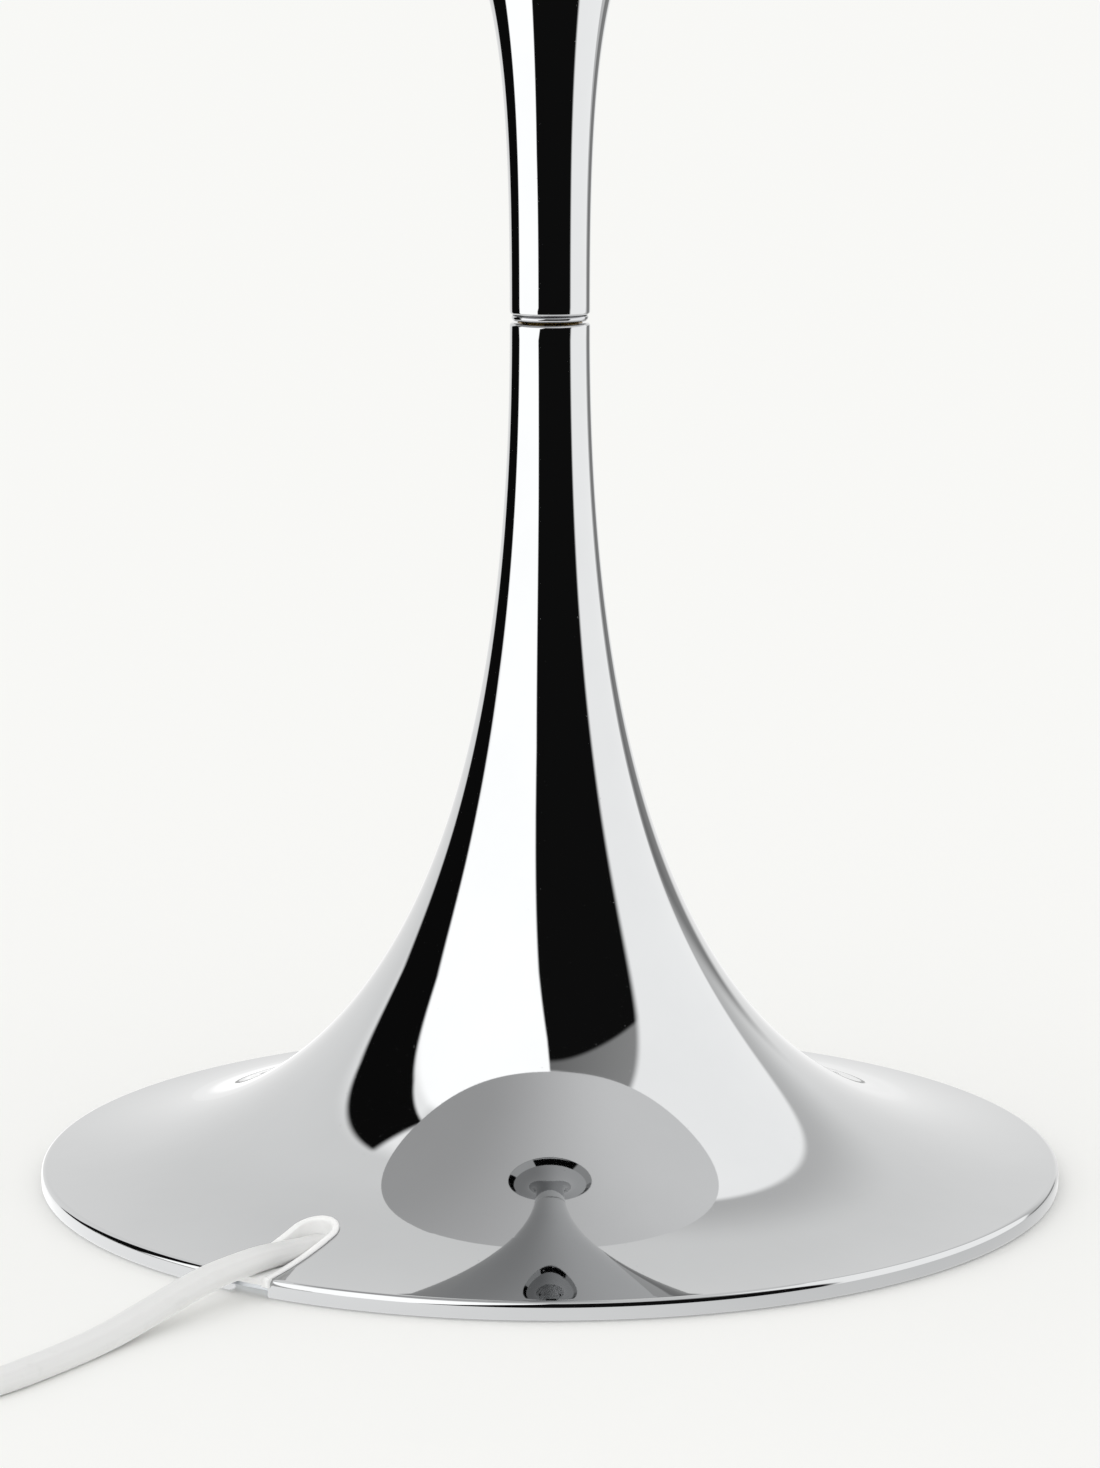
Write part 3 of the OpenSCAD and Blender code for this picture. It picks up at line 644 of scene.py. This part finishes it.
def make_ring():
    """Slim ring in the joint: a dark undercut below and a half-round bead above it."""
    bead_z, bead_high, bead_r = SEAM_Z + 1.02, 0.57, 6.9
    bore = 5.05
    profile = [(bore, SEAM_Z), (5.5, SEAM_Z), (5.6, SEAM_Z + 0.1), (5.7, SEAM_Z + 0.40),
               (6.5, SEAM_Z + 0.45)]
    for i in range(17):
        a = math.radians(-90 + 180 * i / 16)
        profile.append((bead_r + 0.5 * math.cos(a), bead_z + bead_high * math.sin(a)))
    profile += [(bore, SEAM_Z + RING_H - 0.005)]
    ring = revolve("joint-ring", profile, 192)
    return finish_piece(ring, "ring", "ring_chrome", ["seam_ring"], crease=50)


make_foot()
make_stem()
make_ring()


# ------------------------------------------------------------------- the cord
# Middle of the cord in mm: from the slot to the switch, on to the coil, and from the coil to the plug
RUN = [(-40.5, -62.4, 3.9), (-43.6, -67.1, 4.2), (-47.9, -73.8, 5.2), (-51.2, -78.8, 5.9),
       (-54.5, -83.9, 6.2), (-60, -90.2, 5.7), (-65.5, -97.5, 4.6), (-71, -105.3, 3.2),
       (-76.5, -113.7, 2.1), (-82, -122.4, 1.75), (-87.5, -130.9, 1.75), (-93, -138.5, 1.75),
       (-100.1, -145.6, 1.75), (-108.5, -149.9, 1.8), (-116, -151.5, 2.8), (-122.5, -151.7, 4.2),
       (-129, -151.7, 5), (-134, -151.7, 5)]
IN_SWITCH = [(-160, -151.7, 5)]
LINK = [(-186, -151.7, 5), (-191, -151.7, 5), (-198, -151.6, 4.1), (-205.5, -150.4, 2.8),
        (-212.5, -146.5, 2), (-219, -140, 1.75), (-222.6, -131, 1.75), (-223.5, -121, 2),
        (-223.5, -110, 2.5)]
TAIL = [(-223.5, -72, 5), (-223.5, -65, 4.7), (-223.5, -57, 5.4), (-223.5, -46, 6.8), (-223.5, -22.2, 6.8)]
COIL_AT = (-182.0, -88.0)
COIL_R = (41.5, 34.5)
COIL_LAYERS = (2.55, 6.15, 9.75)
COIL_TURNS = [(0, 0), (1, 0), (1, 1), (1, 2), (0, 2), (0, 1)]
JOG = 34.0  # degrees over which one turn of the coil steps to the next
CORD_STEP = 2.0


def ease(t):
    t = min(max(t, 0.0), 1.0)
    return t * t * (3 - 2 * t)


def coil_route():
    """Six turns, wound clockwise, that step from place to place at the left side."""
    out = []
    places = [(COIL_R[c], COIL_LAYERS[z]) for c, z in COIL_TURNS]
    total = 360 * len(places)
    for degree in range(0, total, 5):
        k, part = divmod(degree, 360)
        r, z = places[k]
        if k + 1 < len(places) and part > 360 - JOG:
            share = ease((part - 360 + JOG) / JOG)
            r += (places[k + 1][0] - r) * share
            z += (places[k + 1][1] - z) * share
        turn = math.radians(180 - degree)
        out.append((COIL_AT[0] + r * math.cos(turn), COIL_AT[1] + r * math.sin(turn), z))
    return out


def smooth_route(points, step):
    """A smooth curve through the points, read at even steps, in millimetres."""
    pts = [Vector(p) for p in points]
    dense = []
    for i in range(len(pts) - 1):
        p0 = pts[i - 1] if i else pts[0] * 2 - pts[1]
        p1, p2 = pts[i], pts[i + 1]
        p3 = pts[i + 2] if i + 2 < len(pts) else pts[-1] * 2 - pts[-2]
        d1, d2, d3 = ((b - a).length ** 0.5 for a, b in ((p0, p1), (p1, p2), (p2, p3)))
        m1 = (p2 - p1) + d2 * ((p1 - p0) / d1 - (p2 - p0) / (d1 + d2))
        m2 = (p2 - p1) + d2 * ((p3 - p2) / d3 - (p3 - p1) / (d2 + d3))
        count = max(4, int((p2 - p1).length / 0.4))
        for k in range(count):
            t = k / count
            h = (2 * t ** 3 - 3 * t * t + 1, t ** 3 - 2 * t * t + t,
                 -2 * t ** 3 + 3 * t * t, t ** 3 - t * t)
            dense.append(p1 * h[0] + m1 * h[1] + p2 * h[2] + m2 * h[3])
    dense.append(pts[-1])
    out, left = [dense[0]], 0.0
    for a, b in zip(dense, dense[1:]):
        gap = (b - a).length
        while left + gap >= step and gap > 0:
            a = a + (b - a) * ((step - left) / gap)
            out.append(a.copy())
            gap = (b - a).length
            left = 0.0
        left += gap
    if (out[-1] - dense[-1]).length > step * 0.4:
        out.append(dense[-1])
    return out


def flat_section(width, thick, per_side=7, across=4):
    """Flat cord with round edges and a shallow web between its two cores."""
    half = (width - thick) / 2
    out = []
    for side in (1, -1):
        for i in range(per_side + 1):
            a = math.radians((-90 if side == 1 else 90) + 180 * i / per_side)
            out.append((side * half + thick / 2 * math.cos(a), thick / 2 * math.sin(a)))
        for i in range(1, across):
            x = side * (half - 2 * half * i / across)
            dip = 0.10 * math.cos(math.pi * x / (2 * half)) ** 2
            out.append((x, side * (thick / 2 - dip)))
    return out


CORD_ROUTE = smooth_route(RUN + IN_SWITCH + LINK + coil_route() + TAIL, CORD_STEP)


def make_cord():
    """The whole free cord as one flat sheath that lies level along its route."""
    section = flat_section(CORD_W, CORD_T)
    rings, uvs = [], []
    last = len(CORD_ROUTE) - 1
    for i, p in enumerate(CORD_ROUTE):
        way = (CORD_ROUTE[min(i + 1, last)] - CORD_ROUTE[max(i - 1, 0)]).normalized()
        side = Vector((way.y, -way.x, 0)).normalized()
        up = side.cross(way)
        if up.z < 0:
            up = -up
        rings.append([(p + side * a + up * b) * MM for a, b in section])
        uvs += [(j / len(section), i * CORD_STEP / 100.0) for j in range(len(section))]
    cord = skin_of("cord", rings)
    layer = cord.data.uv_layers.new(name="along")
    for loop in cord.data.loops:
        layer.data[loop.index].uv = uvs[loop.vertex_index]
    replaced = ["cord_run", "cord_link", "cord_coil", "cord_tail"]
    return finish_piece(cord, "root", "cord_white", replaced, crease=60)


cord = make_cord()


# --------------------------------------------------------- switch, plug and tie
SWITCH_AT = (-160.0, -151.7)
PLUG_AT = (-223.5, -22.0)
PLUG_MID = 6.8
PIVOT_Z = 10.5


def level_ring(length, width, corner, z):
    """Rounded outline that lies level about the middle of the switch."""
    return [((SWITCH_AT[0] + x) * MM, (SWITCH_AT[1] + y) * MM, z * MM)
            for x, y in rounded_outline(length, width, corner)]


def upright_ring(y, width, thick, corner):
    """Rounded outline that stands square to the plug's length."""
    return [((PLUG_AT[0] + x) * MM, (PLUG_AT[1] + y) * MM, (PLUG_MID + z) * MM)
            for x, z in rounded_outline(width, thick, corner)]


def make_switch_cover():
    """Rounded upper half with a raised frame round the rocker's opening."""
    long, wide, corner = 58, 24, 8
    # Each step is a length, a width, a corner radius and a height
    steps = [(56.6, 22.6, 7.3, 5.12), (57.6, 23.6, 7.8, 5.25), (long, wide, corner, 5.6),
             (long, wide, corner, 11.6)]
    for i in range(1, 11):
        a = math.radians(9 * i)
        inset = 2.6 * (1 - math.cos(a))
        steps.append((long - 2 * inset, wide - 2 * inset, corner - inset, 11.8 + 2.7 * math.sin(a)))
    steps += [(46, 18.2, 4.6, 14.72), (30, 16.2, 3.2, 14.85), (23.4, 14.8, 2.6, 14.86),
              (22.6, 14.2, 2.4, 14.9), (22.0, 13.7, 2.2, 15.2), (21.2, 13.0, 2.0, 15.34),
              (19.2, 11.4, 1.5, 15.34), (18.4, 10.6, 1.2, 15.2), (18.0, 10.2, 1.1, 14.9),
              (17.8, 10.0, 1.0, 14.3), (17.8, 10.0, 1.0, 7.2)]
    cover = skin_of("switch-cover", [level_ring(*step) for step in steps])
    return finish_piece(cover, "root", "switch_white", ["switch_cover"], crease=50)


def make_rocker():
    """Two flat wings that meet over the pivot, with three grip ribs on the raised one."""
    reach, dip, lean = 8.55, 4.0, math.radians(8)
    side = [(3.3, -2.4)] + [tuple(p) for p in arc((0, 0), reach, -4, 34, 8)]
    outline = list(side)
    wing = side[-1]
    for i in range(1, 40):
        share = i / 40
        x = wing[0] * (1 - share)
        z = wing[1] + (dip - wing[1]) * share
        if 3.0 < x < 6.9:
            z += 0.22 * max(0.0, math.sin((x - 3.0) / 1.3 * 2 * math.pi - math.pi / 2)) ** 0.8
        outline.append((x, z))
    outline += [(0.0, dip)]
    outline += [(-x, z) for x, z in reversed(side)]
    rings = []
    for y, inset in ((-4.7, 0.45), (-4.6, 0.2), (-4.35, 0.0), (4.35, 0.0), (4.6, 0.2), (4.7, 0.45)):
        ring = []
        for x, z in outline:
            x = x * (1 - inset / reach)
            z = z - inset * 0.5 if z > 0 else z
            ring.append(((SWITCH_AT[0] + x * math.cos(lean) + z * math.sin(lean)) * MM,
                         (SWITCH_AT[1] + y) * MM,
                         (PIVOT_Z - x * math.sin(lean) + z * math.cos(lean)) * MM))
        rings.append(ring)
    rocker = skin_of("switch-rocker", rings)
    return finish_piece(rocker, "rocker", "rocker_white", ["switch_rocker"], crease=40)


def make_collars():
    """Short ribbed sleeves where the cord enters the switch."""
    out = []
    for name, way in (("switch-collar-foot-side", 1), ("switch-collar-plug-side", -1)):
        rings = []
        for i in range(29):
            along = 27.5 + 7.0 * i / 28
            size = 5.9 - 0.9 * i / 28 - (0.45 if i % 8 in (5, 6) else 0.0) - (0.5 if i == 28 else 0.0)
            rings.append([((SWITCH_AT[0] + way * along) * MM, (SWITCH_AT[1] + y) * MM, (5.0 + z) * MM)
                          for y, z in rounded_outline(size + 3.6, size + 0.4, size / 2)])
        out.append(finish_piece(skin_of(name, rings), "root", "switch_white", crease=50))
    return out


def make_plug():
    """Flat two-pin plug with rounded ends, a slight waist and grip grooves."""
    half_width = [(0, 8), (10, 10), (20, 13), (35, 13)]
    rings = []
    for i in range(71):
        y = i / 2
        wide = 2 * lookup(half_width, y) - 0.7 * math.exp(-((y - 18) / 6) ** 2)
        nose = max(0.0, 1.6 - y) + max(0.0, y - 33.6)
        inset = 1.4 * (1 - math.sqrt(max(0.0, 1 - min(nose / 1.6, 1.0) ** 2)))
        grip = 0.45 * max(0.0, math.cos(2 * math.pi * (y - 6.0) / 3.0)) ** 3 if 4.5 < y < 17.0 else 0.0
        across = wide - 2 * inset - 2 * grip
        rings.append(upright_ring(y, across, 13.6 - 2 * inset - 0.5 * grip, 4.6 - inset))
    return finish_piece(skin_of("plug-body", rings), "root", "plug_white", ["plug_body"], crease=48)


def make_relief():
    """Tapered, slit strain relief behind the plug."""
    rings = []
    for i in range(73):
        y = -24 + 25 * i / 72
        r = 4.25 + 1.35 * (y + 24) / 24
        groove = 0.55 if 2.2 < (y + 24) % 3.6 < 3.3 and y < -2.5 else 0.0
        tip = 0.5 * max(0.0, 1 - i / 2)
        r = r - groove - tip
        rings.append(upright_ring(y, 2 * r, 2 * r, r * 0.98))
    return finish_piece(skin_of("plug-relief", rings), "root", "plug_white", ["plug_relief"], crease=40)


def make_tie():
    """Flat band round the coil's six strands, with its small locking head on top."""
    turn = math.radians(305)
    mid_r, mid_z, wide, high = 38.0, 6.2, 15.9, 11.7
    out_way = Vector((math.cos(turn), math.sin(turn), 0))
    along = Vector((-out_way.y, out_way.x, 0))
    centre = Vector((COIL_AT[0], COIL_AT[1], mid_z)) + out_way * mid_r
    band = [(-2.6, 0.0), (-2.75, 0.12), (-2.6, 0.3), (-2.3, 0.36), (2.3, 0.36), (2.6, 0.3),
            (2.75, 0.12), (2.6, 0.0), (2.3, -0.3), (-2.3, -0.3)]
    rings = []
    flat = rounded_outline(wide, high, 3.4, 8)
    for i, (u, w) in enumerate(flat):
        before, after = flat[i - 1], flat[(i + 1) % len(flat)]
        nx, nz = after[1] - before[1], before[0] - after[0]
        size = math.hypot(nx, nz)
        nx, nz = nx / size, nz / size
        rings.append([(centre + along * a + out_way * (u + nx * b) + Vector((0, 0, w + nz * b))) * MM
                      for a, b in band])
    tie = skin_of("coil-tie", rings, loop=True)
    finish_piece(tie, "root", "tie_white", ["coil_tie"], crease=40)
    head = []
    for z, inset in ((5.6, 0.2), (5.9, 0.0), (7.4, 0.0), (7.7, 0.3)):
        head.append([(centre + along * y + out_way * (x + 3.0) + Vector((0, 0, z))) * MM
                     for x, y in rounded_outline(5.2 - 2 * inset, 6.6 - 2 * inset, 1.0, 5)])
    lock = finish_piece(skin_of("tie-head", head), "root", "tie_white", crease=45)
    return [tie, lock]


on_cord = [make_switch_cover(), make_rocker(), make_plug(), make_relief(), *make_collars(), *make_tie()]
on_cord += [nodes[n] for n in ("switch_base", "switch_pivot", "switch_screw_1", "switch_screw_2",
                               "plug_pin_1", "plug_pin_2", "pin_sleeve_1", "pin_sleeve_2")]
[tuple(p * MM) for p in CORD_ROUTE]


# ------------------------------------------------------------------- the bush
def make_bush():
    """White lining of the slot: a rounded bead on the skin, walls, and a sill under the cord."""
    mouth = CORD_W / 2 + 0.2  # half the width that is left for the cord
    lip = 4.85  # half the width over both beads
    bead = 0.62
    centre = 76.3 + mouth
    path = []
    for i in range(15):
        path.append((BASE_R + (centre - BASE_R) * i / 14, 0.0, 1.0))
    for i in range(1, 24):
        a = math.radians(90 + 180 * i / 24)
        path.append((centre, math.cos(a), math.sin(a)))
    for i in range(15):
        path.append((centre + (BASE_R - centre) * i / 14, 0.0, -1.0))
    # Section, from the lip's outer foot, over the bead and down the wall: (outward, height above skin)
    span = lip - mouth
    section = [(lip - 0.02, 0.03), (lip, bead * 0.30)]
    section += [(mouth + span / 2 + span / 2 * math.cos(math.radians(a)),
                 bead * (0.30 + 0.70 * math.sin(math.radians(a)))) for a in range(18, 180, 18)]
    section += [(mouth, bead * 0.30), (mouth, 0.0), (mouth, -0.45)]
    rings = []
    for x, nx, ny in path:
        ring = []
        for out, up in section:
            px, py = x + nx * out, ny * out
            r = math.hypot(px, py)
            ring.append((px, py, skin_z(r) + up))
        px, py = x + nx * mouth, ny * mouth
        ring.append((px, py, 2.2))
        px, py = x + nx * (SLOT_HALF - 0.05), ny * (SLOT_HALF - 0.05)
        ring.append((px, py, 2.2))
        ring.append((px, py, skin_z(math.hypot(px, py)) - 0.03))
        rings.append(ring)
    turn = Vector((math.cos(CORD_AZ), math.sin(CORD_AZ), 0))
    side = Vector((-turn.y, turn.x, 0))

    def lay(p):
        return (turn * p[0] + side * p[1] + Vector((0, 0, p[2]))) * MM

    bush = skin_of("slot-bush", [[lay(p) for p in ring] for ring in rings])
    finish_piece(bush, "root", "bush_white", ["cord_bush"], crease=50)
    # Floor of the mouth, which comes up to the sill under the cord
    m = mouth - 0.01
    floor = []
    for x, top in ((centre - 2.9, 2.15), (centre - 1.6, 2.2), (centre, 2.4), (84, 2.75), (88, 3.3),
                   (92, 3.85), (95, 4.15), (99.6, 4.2), (100.3, 4.1), (100.65, 3.8)):
        half = m if x > centre else math.sqrt(max(m * m - (centre - x) ** 2, 0.2))
        low = 2.05 if x < 97 else 2.6 + max(0.0, x - 100.3) * 0.6
        floor.append([lay((x, y, z)) for y, z in (
            (-half, low), (half, low), (half, top - 0.1), (half - 0.2, top), (-half + 0.2, top),
            (-half, top - 0.1))])
    finish_piece(skin_of("bush-sill", floor), "root", "bush_white", crease=35)
    # Thin cheeks that turn down over the rim on both sides of the cord
    for name, way in (("bush-cheek-left", 1), ("bush-cheek-right", -1)):
        cheek = []
        for x, inset in ((99.2, 0.0), (100.3, 0.0), (100.6, 0.12), (100.75, 0.35)):
            outer, inner = lip - inset, mouth + inset * 0.3
            high = RIM_TOP + 0.5 - inset * 1.4
            cheek.append([lay((x, way * y, z)) for y, z in (
                (inner, 2.3 + inset), (outer, 2.3 + inset), (outer, high - 0.35), (outer - 0.35, high),
                (inner + 0.3, high), (inner, high - 0.3))])
        finish_piece(skin_of(name, cheek), "root", "bush_white", crease=40)


make_bush()


# ------------------------------------------------------- rod, nuts and washers
ROD_TOP = 271.3
WASHER_BORE = 5.06


def make_rod():
    """Tie rod with a rolled thread on its free end and on its foot."""
    crest, root, bore = 5.0, 4.6, 3.9
    columns = 48
    foot_end = 8.5
    row, thread_from = 0.125, 248.5
    heights = [foot_end] + [9.0 + i * row for i in range(96)] + [24, 60, 110, 160, 210, 246]
    heights += [thread_from + i * row for i in range(int((ROD_TOP - thread_from) / row) + 1)]
    heights = sorted(set(heights))
    points = []
    for k in range(columns):
        a = 2 * math.pi * k / columns
        for z in heights:
            wave = (z - k / columns) % 1.0
            cut = abs(wave - 0.5) * 2
            r = root + (crest - root) * min(1.0, cut * 1.25)
            if 21.0 < z < 248.4:
                r = crest
            r -= max(0.0, z - ROD_TOP + 0.6) * 0.9
            points.append((r * math.cos(a) * MM, r * math.sin(a) * MM, z * MM))
        for z in (ROD_TOP, foot_end):
            points.append((bore * math.cos(a) * MM, bore * math.sin(a) * MM, z * MM))
    n = len(heights) + 2
    faces = []
    for k in range(columns):
        after = (k + 1) % columns
        for i in range(n):
            j = (i + 1) % n
            faces.append((k * n + i, after * n + i, after * n + j, k * n + j))
    return finish_piece(make_mesh("tie-rod", points, faces), "root", "brass", ["tie_rod"], crease=60)


def make_nut(name, body, slot, replaced, flats, low, high, bore=5.05):
    """Hexagon nut with turned chamfers on both faces."""
    columns = 96
    rows = [(low, 0.90), (low + 0.15, 0.965), (low + 0.7, 1.10), (low + 1.0, 1.2),
            (high - 1.0, 1.2), (high - 0.7, 1.10), (high - 0.15, 0.965), (high, 0.90)]
    rings = []
    for z, limit in [(low, 0.0), *rows, (high, 0.0)]:
        ring = []
        for k in range(columns):
            a = 2 * math.pi * k / columns
            local = (a + math.pi / 6) % (math.pi / 3) - math.pi / 6
            r = min(flats / 2 / math.cos(local), flats / 2 * limit) if limit else bore + 0.35
            ring.append((r * math.cos(a) * MM, r * math.sin(a) * MM, z * MM))
        rings.append(ring)
    rings += [circle(bore, high - 0.35, columns), circle(bore, low + 0.35, columns)]
    return finish_piece(skin_of(name, rings, loop=True), body, slot, replaced, crease=32)


make_rod()
make_nut("bell-nut", "stem", "brass", ["bell_nut"], 14.0, 250.8, 255.3)
make_nut("bottom-nut", "root", "brass", ["bottom_nut"], 17.0, 9.2, 13.7)
washer = revolve("bell-washer", [(WASHER_BORE, 249.62), (8.8, 249.62), (9.0, 249.8), (9.0, 250.6),
                                 (8.8, 250.78), (5.3, 250.78), (WASHER_BORE, 250.6)], 96)
finish_piece(washer, "stem", "washer_steel", ["bell_washer"], crease=30)
plate_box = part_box("bell_plate")
PLATE_R = plate_box[1].x / MM
# A flat plate with a turned groove near its edge
plate = revolve("bell-plate", [(WASHER_BORE, 247.62), (PLATE_R - 0.4, 247.62), (PLATE_R, 248.0),
                               (PLATE_R, 249.2), (PLATE_R - 0.15, 249.5), (PLATE_R - 0.5, 249.58),
                               (PLATE_R - 1.6, 249.58), (PLATE_R - 1.9, 249.42),
                               (PLATE_R - 2.2, 249.42), (PLATE_R - 2.5, 249.58),
                               (WASHER_BORE, 249.58)], 160)
finish_piece(plate, "stem", "plate_satin", ["bell_plate"], crease=25)


# ------------------------------------------------------------ stage and finish
TABLE_R, NEAR_R = 30000.0, 420.0
TABLE_Z, GLOW_Z = -0.05, -0.1
SHADE_R, SHADE_WIDER, SHADE_LOW, SHADE_TALL = 125.0, 1.15, 240.0, 85.0


def floor_finish():
    """Even, matt table top."""
    material, f = new_finish("pale table top")
    cloud = f.noise(3.0, 2.0, 0.5)
    base = f.mix(cloud * 0.3, FLOOR_COLOUR, [c * 0.997 for c in FLOOR_COLOUR[:3]] + [1.0])
    f.shell(Base_Color=base, Roughness=1.0, Specular_IOR_Level=0.0)
    return material


def disc(name, radius, height, columns):
    rim = circle(radius, height, columns)
    return make_mesh(name, rim, [tuple(range(columns))], smooth=False)


def make_stage():
    """A pale table. Polished surfaces see a bright sheet in its place."""
    columns = 128
    pale = floor_finish()
    middle = disc("table-middle", NEAR_R, TABLE_Z, columns)
    points = circle(NEAR_R, TABLE_Z, columns) + circle(TABLE_R, TABLE_Z, columns)
    faces = []
    for k in range(columns):
        after = (k + 1) % columns
        faces.append((k, after, columns + after, columns + k))
    table = make_mesh("table", points, faces, smooth=False)
    for obj in (middle, table):
        obj.data.materials.append(pale)
        obj.visible_glossy = False


def for_mirrors_only(obj):
    """Keeps a stage piece out of everything but reflections."""
    obj.visible_camera = False
    obj.visible_diffuse = False
    obj.visible_shadow = False
    obj.visible_transmission = False


def make_table_glow():
    """The table as a mirror sees it: brighter round the foot, and most so on the left."""
    sheet = disc("table-glow", NEAR_R, GLOW_Z, 96)
    material, f = new_finish("table glow")
    x = f.split(f.place())
    y = x.beside("Y")
    radius = (x * x + y * y) ** 0.5
    light = 0.74 - x.fit(-0.14, 0.14) * 0.26
    light = light + (0.55 - light) * radius.fit(0.112, 0.19)
    f.glow(NEAR_WHITE, light)
    sheet.data.materials.append(material)
    for_mirrors_only(sheet)


def make_shade_underside():
    """A glowing dome over the stand, a painted reflection of the lampshade's underside that its polished
    foot mirrors. It isn't part of the stand.
    """
    points, faces = [], []
    rows, columns = 20, 96
    for i in range(rows + 1):
        t = math.radians(90 * i / rows)
        ring = circle(SHADE_R * math.cos(t), SHADE_LOW + SHADE_TALL * math.sin(t), columns)
        points += [(SHADE_WIDER * x, y, z) for x, y, z in ring]
    for i in range(rows):
        here, above = i * columns, (i + 1) * columns
        for k in range(columns):
            j = (k + 1) % columns
            faces.append((here + k, here + j, above + j, above + k))
    dome = make_mesh("hidden-shade", points, faces)
    material, f = new_finish("shade underside")
    # Painted light: the dome glows instead of being lit, brighter towards +x, as the lampshade's lit
    # underside would look in the mirror
    f.glow((1.0, 1.0, 1.0), 0.28 + f.split(f.place()).fit(-0.11, 0.11) * 0.24)
    dome.data.materials.append(material)
    for_mirrors_only(dome)


make_stage()
make_table_glow()
make_shade_underside()

# Pieces that keep their CAD shape get the finish of their slot
slot_of = {part["node"]: part["material_slot"] for part in frame["record"]["subparts"]}
for name, obj in nodes.items():
    if not obj.hide_render:
        obj.data.materials.clear()
        obj.data.materials.append(finishes[slot_of[name]])
